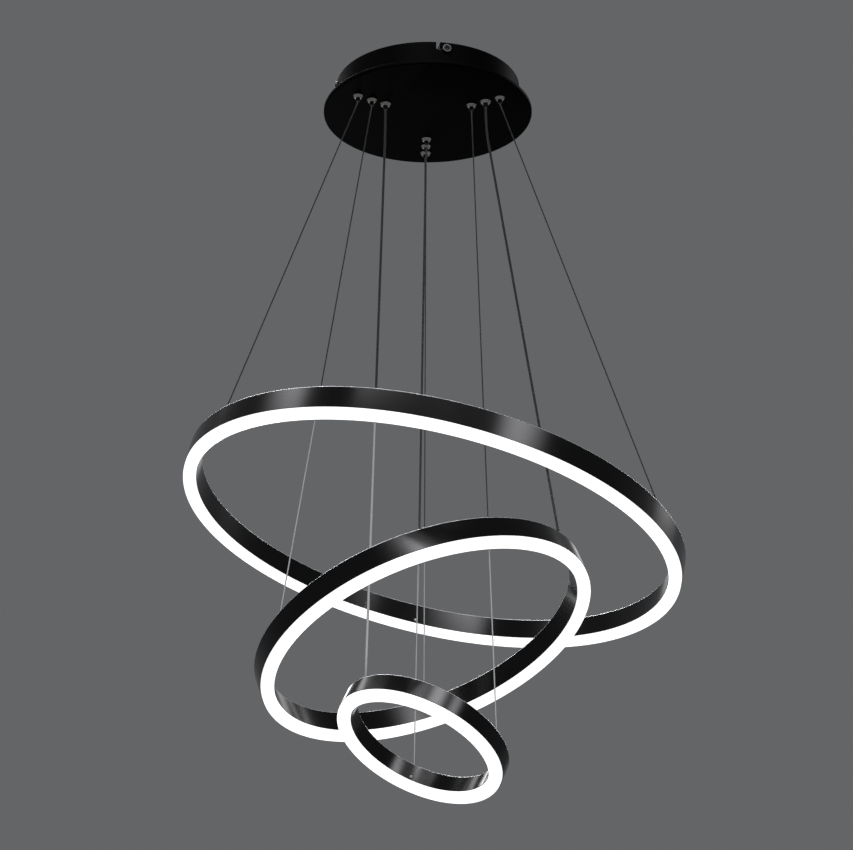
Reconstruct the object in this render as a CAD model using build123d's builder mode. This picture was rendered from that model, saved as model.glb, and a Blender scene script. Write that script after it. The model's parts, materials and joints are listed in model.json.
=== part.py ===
from build123d import *
import os
from dataclasses import dataclass
from math import ceil, cos, degrees, pi, radians, sin, sqrt, tan

# Three-ring LED chandelier. Sizes in millimetres, angles in degrees. The origin is the centre of the
# ceiling face, +Z points up into the ceiling and +Y points away from the usual viewer. Azimuths are
# counted from +X, counter-clockwise seen from above.

# ---------------------------------------------------------------- driving dimensions: canopy
canopy_height = 39.0  # ceiling to the underside of the round plate
plate_thickness = 5.0
plate_edge_round = 1.6
skirt_radius = 116.5  # outside of the drum wall above the plate
plate_lip = 15.5  # the plate stands out this far beyond the drum
skirt_wall = 1.2
skirt_ceiling_gap = 0.4  # the rim stops short of the ceiling, so that the canopy can turn
skirt_tab_count = 6  # turned-in tabs that the plate is bolted to
skirt_tab_width = 14.0
skirt_tab_length = 12.8
stud_radius = 2.0  # studs welded on the plate
stud_clearance = 0.3
stud_nut_flats = 7.0
stud_nut_height = 3.2
stud_stand = 1.2  # stud left above its nut

# ---------------------------------------------------------------- driving dimensions: ceiling bracket
bracket_thickness = 2.0
bracket_hub_radius = 55.0
bracket_arm_width = 18.0
bracket_tab_drop = 17.0  # ceiling to the lower end of the turned-down tabs
bracket_bend_radius = 2.5
bracket_tab_clearance = 0.5
mains_hole_radius = 10.0
ceiling_slot_spacing = 70.0
ceiling_slot_length = 18.0
ceiling_slot_width = 5.0

# ---------------------------------------------------------------- driving dimensions: bayonet lock
lock_count = 4
lock_azimuth = -80.2  # the lock screw that shows from the front
lock_drop = 8.9  # ceiling to the screw's axis
lock_twist = 5.2  # turn of the canopy from locked to free
lock_shank_radius = 2.0
lock_head_radius = 5.5
lock_head_height = 2.4
lock_head_round = 0.8
lock_dish_radius = 3.9  # shallow dish in the head's face, round the recess
lock_dish_depth = 0.5
lock_head_clearance = 0.3
lock_recess_radius = 2.5
lock_screw_tail = 1.5  # beyond the bracket's tab
lock_slot_clearance = 0.35  # shank to the edge of its slot, each side
thread_fit = 0.05  # radial gap that stands for a screw thread

# ---------------------------------------------------------------- driving dimensions: grips
row_azimuths = {"far": 90.0, "left": 210.0, "right": 330.0}
grip_rim_gap = 13.5  # drum's inside to the axes of the outermost grips
grip_row_pitch = 19.8  # from one ring's grips to the next ring's, along a row
grip_collar_radius = 6.5
grip_collar_rim = 1.1
grip_collar_depth = 4.2  # the collar stands this far below the plate
grip_nose_radius = 4.0  # the collar's lower end
grip_nose_flare = 1.1  # its rounded corner, outward
grip_nose_rise = 0.9  # and upward
grip_barrel_radius = 4.4
grip_barrel_height = 13.0  # above the plate's underside
grip_hole_clearance = 0.2
grip_nut_height = 4.0
grip_nut_wall = 2.6  # nut's half flats beyond the barrel
plunger_radius = 2.7
plunger_shoulder = 0.5  # shoulder that keeps the plunger in its barrel
plunger_drop = 4.2  # plunger below the collar's lower end
plunger_travel = 2.0
plunger_tip_round = 0.5
plunger_flare = 0.7  # of its mouth, for the slanting wire
plunger_body = 4.4  # length of the shouldered part
spring_room = 3.0  # above a pressed plunger
plunger_lip = 1.6  # thickness of the barrel's lower lip
slide_fit = 0.25
shoulder_gap = 0.05  # plunger's shoulder over its barrel's lip
wire_bore_gap = 0.4  # a bore is this much larger in radius than its wire
wire_mouth_gap = 0.5  # a wire's free stretch starts this far below its plunger
cord_grip_extra = 0.6  # cord grips are this much larger in radius
sleeve_depth = 4.6  # nylon sleeve of a cord grip below its collar
sleeve_flange = 1.0  # its flange on the barrel's top, width and thickness
sleeve_fit = 0.1
sleeve_taper = 1.0

# ---------------------------------------------------------------- driving dimensions: wires and cables
wire_radius = 0.75  # 1.5 mm stranded steel wire
cable_radius = 1.5  # 3 mm two-core cable
cable_fit = 0.2
cable_drop = 30.0  # the stiff cable hangs straight below its grip for this far
cable_bend_share = 0.45  # of the straight run, that its bend may take
ball_radius = 2.5  # swaged ball on a wire's lower end
ball_clearance = 0.3
ball_seat_gap = 0.3  # wire's end to its ball

# ---------------------------------------------------------------- driving dimensions: ring section
section_width = 16.0
section_wall = 1.4
section_web = 1.6
section_edge_round = 0.5
upper_chamber = 11.4  # from the web's top to the walls' upper edge
anchor_depth = 4.0  # wire ends lie this far below the walls' upper edge
seam_gap = 0.3  # between the two ends of the bent channel
hole_margin = 1.0  # cutters run this far past the faces that they open
diffuser_inset = 0.6  # diffuser's side behind the channel's face
diffuser_side = 2.6  # straight side of the diffuser below the channel
diffuser_thickness = 2.2
diffuser_leg = 5.0
diffuser_leg_thickness = 1.5
diffuser_leg_fit = 0.15
strip_width = 10.0
strip_thickness = 1.0
led_size = 5.0
led_height = 1.4
led_pitch = 50.0  # along the strip, at most

# ---------------------------------------------------------------- driving dimensions: the three rings
ring_radii = {"large": 300.0, "middle": 200.0, "small": 100.0}  # outside of the channels
ring_heights = {"large": 25.0, "middle": 25.0, "small": 20.0}  # of the channels' walls
lowest_drop = 837.6  # ceiling to the centre of the small ring's lower edge
ring_rises = {"large": 250.1, "middle": 120.9, "small": 0.0}  # of each ring's centre above the small one's
ring_shifts_x = {"large": 2.0, "middle": 0.0, "small": -10.0}  # that centre, off the canopy's axis
ring_shifts_y = {"large": 14.0, "middle": -2.4, "small": -20.4}
ring_leans = {"large": 15.9, "middle": 26.3, "small": 31.6}  # tilt from level
ring_lean_azimuths = {"large": 34.3, "middle": 135.7, "small": 41.3}  # the side that each ring faces
ring_twists = {"large": 1.2, "middle": 0.9, "small": 2.5}  # about each ring's own axis
ring_seams = {"large": 104.0, "middle": 350.0, "small": 238.0}  # azimuths of the channels' seams
ring_wire_rows = {"large": ("right", "left"), "middle": ("left", "far"), "small": ("right", "far")}
ring_cable_rows = {"large": "far", "middle": "right", "small": "left"}

# ---------------------------------------------------------------- driving dimensions: ring hardware
post_base_radius = 4.6
post_base_height = 1.4
post_radius = 3.9
lip_radius = 2.25  # mouth of a post, smaller than its ball
lip_flare = 0.75
gland_base_radius = 5.4
gland_base_height = 1.6
gland_radius = 4.0
gland_nose_radius = 2.6
web_hole_radius = 2.0  # for the cable's cores
splice_length = 40.0
splice_thickness = 2.0
splice_side_fit = 0.3
splice_screw_radius = 1.5
splice_head_radius = 2.7
splice_head_height = 1.5
splice_screw_gap = 0.3  # from the screw's end to the web's underside
wall_screw_height = 4.0  # above the channel's lower edge
wall_screw_radius = 1.0
wall_head_radius = 1.7
wall_head_height = 1.0
wall_screw_tail = 0.5

# ---------------------------------------------------------------- driving dimensions: canopy contents
driver_length = 92.0
driver_width = 36.0
driver_height = 22.0
driver_corner_gap = 19.5  # drum's inside to a driver's outer corners
driver_round = 2.0
driver_ear_length = 8.0
driver_ear_width = 14.0
driver_ear_thickness = 2.0
driver_screw_radius = 1.6
driver_head_radius = 3.2
driver_head_height = 1.8
driver_screw_depth = 3.5
driver_screw_gap = 0.3  # at the bottom of its hole
driver_azimuths = {"large": 270.0, "middle": 30.0, "small": 150.0}  # between the rows of grips
block_length = 30.0
block_width = 20.0
block_height = 9.0
block_tower_height = 6.0
block_pole_pitch = 10.0
block_wire_radius = 1.9
block_screw_radius = 2.2
block_round = 1.5
block_tower_length = 7.0
block_tower_width = 12.0


# ---------------------------------------------------------------- derived sizes
plate_bottom = -canopy_height
plate_top = plate_bottom + plate_thickness
skirt_inner = skirt_radius - skirt_wall
plate_radius = skirt_radius + plate_lip
driver_centre_radius = (
    sqrt((skirt_inner - driver_corner_gap) ** 2 - (driver_length / 2) ** 2) - driver_width / 2
)
stud_circle = skirt_inner - skirt_tab_length / 2
lock_slot_width = 2 * (lock_shank_radius + lock_slot_clearance)
lock_head_seat = skirt_radius + lock_head_clearance
# outer face of a flat tab whose corners clear the round skirt
bracket_tab_face = sqrt((skirt_inner - bracket_tab_clearance) ** 2 - (bracket_arm_width / 2) ** 2)
collar_bottom = plate_bottom - grip_collar_depth
plunger_bottom = collar_bottom - plunger_drop
wire_start_z = plunger_bottom - wire_mouth_gap
chamber_radius = plunger_radius + plunger_shoulder + slide_fit
plunger_top = collar_bottom + plunger_lip + plunger_body
sleeve_radius = plunger_radius + cord_grip_extra
web_to_edge = section_web + upper_chamber
half_section = section_width / 2
inner_half = half_section - section_wall
dome_radius = half_section - diffuser_inset

ORIGIN = Vector(0, 0, 0)
UP = Vector(0, 0, 1)


@dataclass(frozen=True)
class Ring:
    """One lit ring: its size, its place, and which of its three lines carries the power."""

    name: str
    radius: float
    height: float
    centre: Vector
    lean: float
    lean_azimuth: float
    twist: float
    grip_row_radius: float
    wire_rows: tuple
    cable_row: str
    seam_azimuth: float


RINGS = [
    Ring(
        name=name,
        radius=ring_radii[name],
        height=ring_heights[name],
        centre=Vector(ring_shifts_x[name], ring_shifts_y[name], ring_rises[name] - lowest_drop),
        lean=ring_leans[name],
        lean_azimuth=ring_lean_azimuths[name],
        twist=ring_twists[name],
        grip_row_radius=skirt_inner - grip_rim_gap - index * grip_row_pitch,
        wire_rows=ring_wire_rows[name],
        cable_row=ring_cable_rows[name],
        seam_azimuth=ring_seams[name],
    )
    for index, name in enumerate(ring_radii)
]


# ---------------------------------------------------------------- small helpers
def polar(radius, azimuth, z=0.0):
    """The point at a radius and an azimuth, at height z."""
    return Vector(radius * cos(radians(azimuth)), radius * sin(radians(azimuth)), z)


def radial_plane(base, azimuth):
    """The plane through base's axis whose X runs outward at that azimuth and whose Y runs along the axis."""
    outward = base.x_dir.rotate(Axis(ORIGIN, base.z_dir), azimuth)
    return Plane(origin=base.origin, x_dir=outward, z_dir=outward.cross(base.z_dir))


def upright(point):
    """A level plane at a point."""
    return Plane(origin=point, x_dir=(1, 0, 0), z_dir=(0, 0, 1))


def facing_out(azimuth, radius, z):
    """The plane that touches a cylinder about the Z axis at an azimuth, facing outward, with its Y up."""
    outward = polar(1, azimuth)
    return Plane(origin=polar(radius, azimuth, z), x_dir=UP.cross(outward), z_dir=outward)


def save(builder, label):
    """Names a finished piece and writes it."""
    builder.part.label = label
    export_step(builder.part, f"parts/{label}.step")


# ---------------------------------------------------------------- ring frames
def ring_plane(ring):
    """The ring's own frame: origin at the centre of its lower edge, Z along its axis."""
    lean_axis = Vector(-sin(radians(ring.lean_azimuth)), cos(radians(ring.lean_azimuth)), 0)
    normal = UP.rotate(Axis(ORIGIN, lean_axis), ring.lean)
    level_x = Vector(1, 0, 0).rotate(Axis(ORIGIN, lean_axis), ring.lean)
    return Plane(
        origin=ring.centre,
        x_dir=level_x.rotate(Axis(ORIGIN, normal), ring.twist),
        z_dir=normal,
    )


def mid_radius(ring):
    """Radius of the middle of the ring's section."""
    return ring.radius - half_section


def web_top(ring):
    """Height of the web's upper face above the ring's lower edge."""
    return ring.height - upper_chamber


def on_ring(ring, azimuth, height, radius=None):
    """A plane on the ring at an azimuth and height, its X outward and its Z along the ring's axis."""
    base = ring_plane(ring)
    outward = base.x_dir.rotate(Axis(ORIGIN, base.z_dir), azimuth)
    reach = mid_radius(ring) if radius is None else radius
    return Plane(origin=base.origin + outward * reach + base.z_dir * height, x_dir=outward, z_dir=base.z_dir)


def line_end(ring, row):
    """Where a line's lower end is held: the centre of its ball, or of its gland's mouth."""
    return on_ring(ring, row_azimuths[row], ring.height - anchor_depth)


# ================================================================ ceiling bracket and lock screws
def make_bracket():
    """Pressed steel cross: a hub with two slots and the mains hole, and four arms with turned-down tabs."""
    with BuildPart() as bracket:
        with BuildSketch(Plane.XY.offset(-bracket_thickness)):
            Circle(bracket_hub_radius)
        extrude(amount=bracket_thickness)
        for index in range(lock_count):
            azimuth = lock_azimuth + 360 / lock_count * index
            with BuildSketch(radial_plane(Plane.XY, azimuth)) as bent:
                with BuildLine():
                    Polyline(
                        (bracket_hub_radius / 2, 0),
                        (bracket_tab_face, 0),
                        (bracket_tab_face, -bracket_tab_drop),
                        (bracket_tab_face - bracket_thickness, -bracket_tab_drop),
                        (bracket_tab_face - bracket_thickness, -bracket_thickness),
                        (bracket_hub_radius / 2, -bracket_thickness),
                        close=True,
                    )
                make_face()
                outer = bent.vertices().group_by(Axis.X)[-1]
                fillet(outer.sort_by(Axis.Y)[-1], bracket_bend_radius)
            extrude(amount=bracket_arm_width / 2, both=True)
            with BuildSketch(facing_out(azimuth, bracket_tab_face + hole_margin, -lock_drop)):
                Circle(lock_shank_radius + thread_fit)
            extrude(amount=-(bracket_thickness + 2 * hole_margin), mode=Mode.SUBTRACT)
        with BuildSketch(Plane.XY):
            Circle(mains_hole_radius)
            with GridLocations(ceiling_slot_spacing, 1, 2, 1):
                SlotOverall(ceiling_slot_length, ceiling_slot_width)
        extrude(amount=-bracket_thickness, mode=Mode.SUBTRACT)
    return bracket


def make_lock_screws():
    """Dished round-head screws in the bracket's tabs, that carry the canopy by its bayonet slots."""
    shank_length = lock_head_seat - bracket_tab_face + bracket_thickness + lock_screw_tail
    with BuildPart() as screws:
        for index in range(lock_count):
            seat = facing_out(lock_azimuth + 360 / lock_count * index, lock_head_seat, -lock_drop)
            with BuildSketch(seat):
                Circle(lock_shank_radius)
            extrude(amount=-shank_length)
            with BuildSketch(radial_plane(seat, 0)) as head:
                with BuildLine():
                    Polyline(
                        (0, 0),
                        (lock_head_radius, 0),
                        (lock_head_radius, lock_head_height),
                        (lock_dish_radius, lock_head_height),
                        (lock_dish_radius - lock_dish_depth, lock_head_height - lock_dish_depth),
                        (0, lock_head_height - lock_dish_depth),
                        close=True,
                    )
                make_face()
                fillet(head.vertices().group_by(Axis.X)[-1].sort_by(Axis.Y)[-1], lock_head_round)
            revolve(axis=Axis(seat.origin, seat.z_dir))
            with BuildSketch(seat.offset(lock_head_height)):
                RegularPolygon(lock_recess_radius, 6)
            extrude(amount=-lock_head_height / 2 - lock_dish_depth, mode=Mode.SUBTRACT)
    return screws


# ================================================================ canopy
def make_skirt():
    """The drum wall, with bayonet slots open at its rim and turned-in tabs at its foot."""
    rim = -skirt_ceiling_gap
    with BuildPart() as skirt:
        with BuildSketch(Plane.XY.offset(plate_top)):
            Circle(skirt_radius)
            Circle(skirt_inner, mode=Mode.SUBTRACT)
        extrude(amount=rim - plate_top)
        with BuildSketch(Plane.XY.offset(plate_top)):
            for index in range(skirt_tab_count):
                azimuth = 360 / skirt_tab_count * index
                reach = skirt_tab_length + skirt_wall / 2
                with Locations(Location(polar(skirt_inner - skirt_tab_length + reach / 2, azimuth), (0, 0, azimuth))):
                    Rectangle(reach, skirt_tab_width)
            for index in range(skirt_tab_count):
                with Locations(polar(stud_circle, 360 / skirt_tab_count * index)):
                    Circle(stud_radius + stud_clearance, mode=Mode.SUBTRACT)
        extrude(amount=skirt_wall)
        for index in range(lock_count):
            azimuth = lock_azimuth + 360 / lock_count * index
            run = skirt_radius * sin(radians(lock_twist))
            with BuildSketch(facing_out(azimuth, skirt_radius + hole_margin, -lock_drop)):
                with Locations((-run / 2, 0)):
                    SlotOverall(run + lock_slot_width, lock_slot_width)
                with Locations((-run, lock_drop / 2)):
                    Rectangle(lock_slot_width, lock_drop)
            extrude(amount=-(skirt_wall + 3 * hole_margin), mode=Mode.SUBTRACT)
    return skirt


def driver_plane(azimuth):
    """The plate's top under a driver, X outward."""
    return Plane(
        origin=polar(driver_centre_radius, azimuth, plate_top), x_dir=polar(1, azimuth), z_dir=(0, 0, 1)
    )


def driver_screw_offset():
    """Middle of a driver's ear, from the middle of the driver."""
    return driver_length / 2 + driver_ear_length / 2


def make_plate():
    """The round plate: nine holes for the grips, studs for the skirt and pilot holes for the drivers."""
    with BuildPart() as plate:
        with BuildSketch(Plane.XY.offset(plate_bottom)):
            Circle(plate_radius)
        extrude(amount=plate_thickness)
        fillet(plate.faces().sort_by(Axis.Z)[0].edges(), plate_edge_round)
        fillet(plate.faces().sort_by(Axis.Z)[-1].edges(), plate_edge_round / 2)
        with BuildSketch(Plane.XY.offset(plate_bottom)):
            for ring in RINGS:
                for row in row_azimuths:
                    extra = cord_grip_extra if row == ring.cable_row else 0
                    with Locations(polar(ring.grip_row_radius, row_azimuths[row])):
                        Circle(grip_barrel_radius + extra + grip_hole_clearance)
        extrude(amount=plate_thickness, mode=Mode.SUBTRACT)
        for azimuth in driver_azimuths.values():
            with BuildSketch(driver_plane(azimuth)):
                with Locations((0, -driver_screw_offset()), (0, driver_screw_offset())):
                    Circle(driver_screw_radius + thread_fit)
            extrude(amount=-driver_screw_depth, mode=Mode.SUBTRACT)
        with BuildSketch(Plane.XY.offset(plate_top)):
            with PolarLocations(stud_circle, skirt_tab_count):
                Circle(stud_radius)
        extrude(amount=skirt_wall + stud_nut_height + stud_stand)
    return plate


def make_stud_nuts():
    """Hex nuts that clamp the skirt's tabs on the plate's studs."""
    with BuildPart() as nuts:
        with BuildSketch(Plane.XY.offset(plate_top + skirt_wall)):
            with PolarLocations(stud_circle, skirt_tab_count):
                RegularPolygon(stud_nut_flats / 2, 6, major_radius=False)
                Circle(stud_radius + thread_fit, mode=Mode.SUBTRACT)
        extrude(amount=stud_nut_height)
    return nuts


# ================================================================ what the canopy holds
def make_driver(azimuth):
    """LED driver: a rounded plastic box with a fixing ear at each end."""
    base = driver_plane(azimuth)
    with BuildPart() as driver:
        with BuildSketch(base):
            RectangleRounded(driver_width, driver_length, driver_round)
        extrude(amount=driver_height)
        fillet(driver.faces().sort_by(Axis.Z)[-1].edges(), driver_round / 2)
        with BuildSketch(base):
            for side in (-1, 1):
                with Locations((0, side * driver_screw_offset())):
                    Rectangle(driver_ear_width, driver_ear_length + driver_round)
                    Circle(driver_screw_radius + thread_fit, mode=Mode.SUBTRACT)
        extrude(amount=driver_ear_thickness)
    return driver


def make_driver_screws():
    """Pan-head screws through the drivers' ears into the plate."""
    with BuildPart() as screws:
        for azimuth in driver_azimuths.values():
            seat = driver_plane(azimuth).offset(driver_ear_thickness)
            for side in (-1, 1):
                with BuildSketch(seat):
                    with Locations((0, side * driver_screw_offset())):
                        Circle(driver_head_radius)
                extrude(amount=driver_head_height)
                with BuildSketch(seat):
                    with Locations((0, side * driver_screw_offset())):
                        Circle(driver_screw_radius)
                extrude(amount=-(driver_ear_thickness + driver_screw_depth - driver_screw_gap))
    return screws


def make_terminal_block():
    """Three-pole mains terminal block under the mains hole."""
    with BuildPart() as block:
        with BuildSketch(Plane.XY.offset(plate_top)):
            RectangleRounded(block_length, block_width, block_round)
        extrude(amount=block_height)
        with BuildSketch(Plane.XY.offset(plate_top + block_height)):
            with GridLocations(block_pole_pitch, 1, 3, 1):
                Rectangle(block_tower_length, block_tower_width)
        extrude(amount=block_tower_height)
        with BuildSketch(Plane.XZ.offset(-block_width / 2)):
            with Locations((0, plate_top + block_height / 2)):
                with GridLocations(block_pole_pitch, 1, 3, 1):
                    Circle(block_wire_radius)
        extrude(amount=block_width, mode=Mode.SUBTRACT)
        with BuildSketch(Plane.XY.offset(plate_top + block_height + block_tower_height)):
            with GridLocations(block_pole_pitch, 1, 3, 1):
                Circle(block_screw_radius)
        extrude(amount=-block_tower_height, mode=Mode.SUBTRACT)
    return block


# ================================================================ grips
def grip_axis(ring, row):
    """Level frame on a grip's axis at the plate's underside."""
    return upright(polar(ring.grip_row_radius, row_azimuths[row], plate_bottom))


def make_wire_grips():
    """Barrels that clamp the steel wires: a domed collar below the plate and a threaded part above."""
    lip_top = plunger_lip - grip_collar_depth
    chamber_top = plunger_top + plunger_travel + spring_room - plate_bottom
    profile = [
        (plunger_radius + slide_fit, -grip_collar_depth),
        (grip_nose_radius, -grip_collar_depth),
        (grip_nose_radius + grip_nose_flare, -grip_collar_depth + grip_nose_rise),
        (grip_collar_radius, -grip_collar_rim),
        (grip_collar_radius, 0),
        (grip_barrel_radius, 0),
        (grip_barrel_radius, grip_barrel_height),
        (wire_radius + wire_bore_gap, grip_barrel_height),
        (wire_radius + wire_bore_gap, chamber_top),
        (chamber_radius, chamber_top),
        (chamber_radius, lip_top),
        (plunger_radius + slide_fit, lip_top),
    ]
    with BuildPart() as grips:
        for ring in RINGS:
            for row in ring.wire_rows:
                base = grip_axis(ring, row)
                with BuildSketch(radial_plane(base, 0)):
                    with BuildLine():
                        Polyline(*profile, close=True)
                    make_face()
                revolve(axis=Axis(base.origin, base.z_dir))
    return grips


def make_cord_grips():
    """Larger barrels for the three power cables, open right through for the nylon sleeves."""
    extra = cord_grip_extra
    profile = [
        (sleeve_radius + sleeve_fit, -grip_collar_depth),
        (grip_nose_radius + extra, -grip_collar_depth),
        (grip_nose_radius + extra + grip_nose_flare, -grip_collar_depth + grip_nose_rise),
        (grip_collar_radius + extra, -grip_collar_rim),
        (grip_collar_radius + extra, 0),
        (grip_barrel_radius + extra, 0),
        (grip_barrel_radius + extra, grip_barrel_height),
        (sleeve_radius + sleeve_fit, grip_barrel_height),
    ]
    with BuildPart() as grips:
        for ring in RINGS:
            base = grip_axis(ring, ring.cable_row)
            with BuildSketch(radial_plane(base, 0)):
                with BuildLine():
                    Polyline(*profile, close=True)
                make_face()
            revolve(axis=Axis(base.origin, base.z_dir))
    return grips


def make_cord_sleeves():
    """Nylon sleeves that hold the power cables in the cord grips and ease their bend."""
    outer = sleeve_radius
    bore = cable_radius + cable_fit
    profile = [
        (bore, -grip_collar_depth - sleeve_depth),
        (outer - sleeve_taper, -grip_collar_depth - sleeve_depth),
        (outer, -grip_collar_depth),
        (outer, grip_barrel_height),
        (outer + sleeve_flange, grip_barrel_height),
        (outer + sleeve_flange, grip_barrel_height + sleeve_flange),
        (bore, grip_barrel_height + sleeve_flange),
    ]
    with BuildPart() as sleeves:
        for ring in RINGS:
            base = grip_axis(ring, ring.cable_row)
            with BuildSketch(radial_plane(base, 0)):
                with BuildLine():
                    Polyline(*profile, close=True)
                make_face()
            revolve(axis=Axis(base.origin, base.z_dir))
    return sleeves


def make_grip_nuts():
    """Hex nuts on the grips' barrels, on the plate's top."""
    with BuildPart() as nuts:
        for ring in RINGS:
            for row in row_azimuths:
                barrel = grip_barrel_radius + (cord_grip_extra if row == ring.cable_row else 0)
                with BuildSketch(upright(polar(ring.grip_row_radius, row_azimuths[row], plate_top))):
                    RegularPolygon(barrel + grip_nut_wall, 6, major_radius=False)
                    Circle(barrel + thread_fit, mode=Mode.SUBTRACT)
                extrude(amount=grip_nut_height)
    return nuts


def make_plunger(ring, row):
    """Press-in tip of a wire grip, with a flared mouth for the slanting wire and a shoulder inside."""
    bore = wire_radius + wire_bore_gap
    bottom = plunger_bottom - plate_bottom
    top = plunger_top - plate_bottom
    shoulder_z = plunger_lip - grip_collar_depth + shoulder_gap
    profile = [
        (bore + plunger_flare, bottom),
        (plunger_radius - plunger_tip_round, bottom),
        (plunger_radius, bottom + plunger_tip_round),
        (plunger_radius, shoulder_z),
        (plunger_radius + plunger_shoulder, shoulder_z),
        (plunger_radius + plunger_shoulder, top),
        (bore, top),
        (bore, bottom + plunger_flare),
    ]
    base = grip_axis(ring, row)
    with BuildPart() as plunger:
        with BuildSketch(radial_plane(base, 0)):
            with BuildLine():
                Polyline(*profile, close=True)
            make_face()
        revolve(axis=Axis(base.origin, base.z_dir))
    return plunger


# ================================================================ wires and cables
def make_wire(ring, row):
    """A taut steel wire, from its plunger's mouth to its ball on the ring."""
    start = polar(ring.grip_row_radius, row_azimuths[row], wire_start_z)
    ball = line_end(ring, row).origin
    along = (ball - start).normalized()
    length = (ball - start).length - ball_radius - ball_seat_gap
    with BuildPart() as wire:
        with BuildSketch(Plane(origin=start, z_dir=along)):
            Circle(wire_radius)
        extrude(amount=length)
    print(f"{ring.name} {row} wire: free length {length:.1f}")
    return wire


def cable_route(ring):
    """A power cable's corners: inside its sleeve, straight down for a little, then taut to its gland."""
    grip = polar(ring.grip_row_radius, row_azimuths[ring.cable_row], 0)
    start = Vector(grip.X, grip.Y, collar_bottom)
    bend = Vector(grip.X, grip.Y, collar_bottom - sleeve_depth - cable_drop)
    mouth = line_end(ring, ring.cable_row)
    to_bend = (bend - mouth.origin).normalized()
    slant = radians(to_bend.get_angle(mouth.z_dir))
    rise = ball_seat_gap + cable_radius * sin(slant)
    return [start, bend, mouth.origin + to_bend * (rise / cos(slant))]


def make_cable(ring):
    """A power cable: a straight run, one bend as large as its two runs allow, and a taut run."""
    start, bend, end = cable_route(ring)
    turn = radians((bend - start).get_angle(end - bend))
    radius = cable_bend_share * (bend - start).length / tan(turn / 2)
    with BuildPart() as cable:
        with BuildLine() as path:
            FilletPolyline(start, bend, end, radius=[radius])
        with BuildSketch(Plane(origin=start, z_dir=bend - start)):
            Circle(cable_radius)
        sweep()
    length = sum(edge.length for edge in path.edges())
    section = pi * cable_radius**2
    print(
        f"{ring.name} cable: length {length:.1f}, bend radius {radius:.0f}, "
        f"volume {cable.part.volume:.1f} for {section * length:.1f}"
    )
    return cable


# ================================================================ rings
def make_channel(ring):
    """Bent aluminium extrusion, H in section: lower chamber for the light, upper chamber for the lines."""
    base = ring_plane(ring)
    middle = mid_radius(ring)
    web_bottom = web_top(ring) - section_web
    seam = degrees(seam_gap / middle)
    with BuildPart() as channel:
        with BuildSketch(radial_plane(base, ring.seam_azimuth + seam)) as section:
            with Locations((middle, ring.height / 2)):
                Rectangle(section_width, ring.height)
            with Locations((middle, web_bottom / 2)):
                Rectangle(2 * inner_half, web_bottom, mode=Mode.SUBTRACT)
            with Locations((middle, (web_top(ring) + ring.height) / 2)):
                Rectangle(2 * inner_half, upper_chamber, mode=Mode.SUBTRACT)
            edge = section.vertices().group_by(Axis.Y)[-1].sort_by(Axis.X)
            fillet([edge[0], edge[-1]], section_edge_round)
        revolve(axis=Axis(base.origin, -base.z_dir), revolution_arc=-(360 - seam))
        with BuildSketch(on_ring(ring, row_azimuths[ring.cable_row], web_top(ring))):
            Circle(web_hole_radius)
        extrude(amount=-section_web, mode=Mode.SUBTRACT)
        for place in splice_places(ring):
            with BuildSketch(on_ring(ring, place, web_top(ring))):
                Circle(splice_screw_radius + thread_fit)
            extrude(amount=-section_web, mode=Mode.SUBTRACT)
        for row in row_azimuths:
            with BuildSketch(wall_screw_seat(ring, row)):
                Circle(wall_screw_radius + thread_fit)
            extrude(amount=-section_wall - hole_margin / 2, mode=Mode.SUBTRACT)
    return channel


def wall_screw_seat(ring, row):
    """Plane under a line's end, facing the ring's axis, where a flat head meets the curved inner wall."""
    seat_radius = sqrt((ring.radius - section_width) ** 2 - wall_head_radius**2)
    place = on_ring(ring, row_azimuths[row], wall_screw_height, seat_radius)
    return Plane(origin=place.origin, x_dir=place.z_dir, z_dir=-place.x_dir)


def splice_places(ring):
    """Azimuths of the two splice screws, one on each side of the seam."""
    reach = degrees(splice_length / 4 / mid_radius(ring))
    return (ring.seam_azimuth - reach, ring.seam_azimuth + reach)


def make_diffuser(ring):
    """Opal diffuser: a round-bottomed trough with two legs that stand inside the channel's walls."""
    base = ring_plane(ring)
    middle = mid_radius(ring)
    leg_outer = inner_half - diffuser_leg_fit
    leg_inner = leg_outer - diffuser_leg_thickness
    inside = min(leg_inner, dome_radius - diffuser_thickness)
    with BuildPart() as diffuser:
        with BuildSketch(radial_plane(base, 0)):
            with BuildLine():
                Polyline(
                    (middle + dome_radius, -diffuser_side),
                    (middle + dome_radius, 0),
                    (middle + leg_outer, 0),
                    (middle + leg_outer, diffuser_leg),
                    (middle + inside, diffuser_leg),
                    (middle + inside, -diffuser_side),
                )
                ThreePointArc(
                    (middle + inside, -diffuser_side),
                    (middle, -diffuser_side - inside),
                    (middle - inside, -diffuser_side),
                )
                Polyline(
                    (middle - inside, -diffuser_side),
                    (middle - inside, diffuser_leg),
                    (middle - leg_outer, diffuser_leg),
                    (middle - leg_outer, 0),
                    (middle - dome_radius, 0),
                    (middle - dome_radius, -diffuser_side),
                )
                ThreePointArc(
                    (middle - dome_radius, -diffuser_side),
                    (middle, -diffuser_side - dome_radius),
                    (middle + dome_radius, -diffuser_side),
                )
            make_face()
        revolve(axis=Axis(base.origin, base.z_dir))
        for row in row_azimuths:
            with BuildSketch(wall_screw_seat(ring, row)):
                Circle(wall_screw_radius + thread_fit)
            extrude(amount=-(half_section - inside) - hole_margin, mode=Mode.SUBTRACT)
    return diffuser


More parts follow.
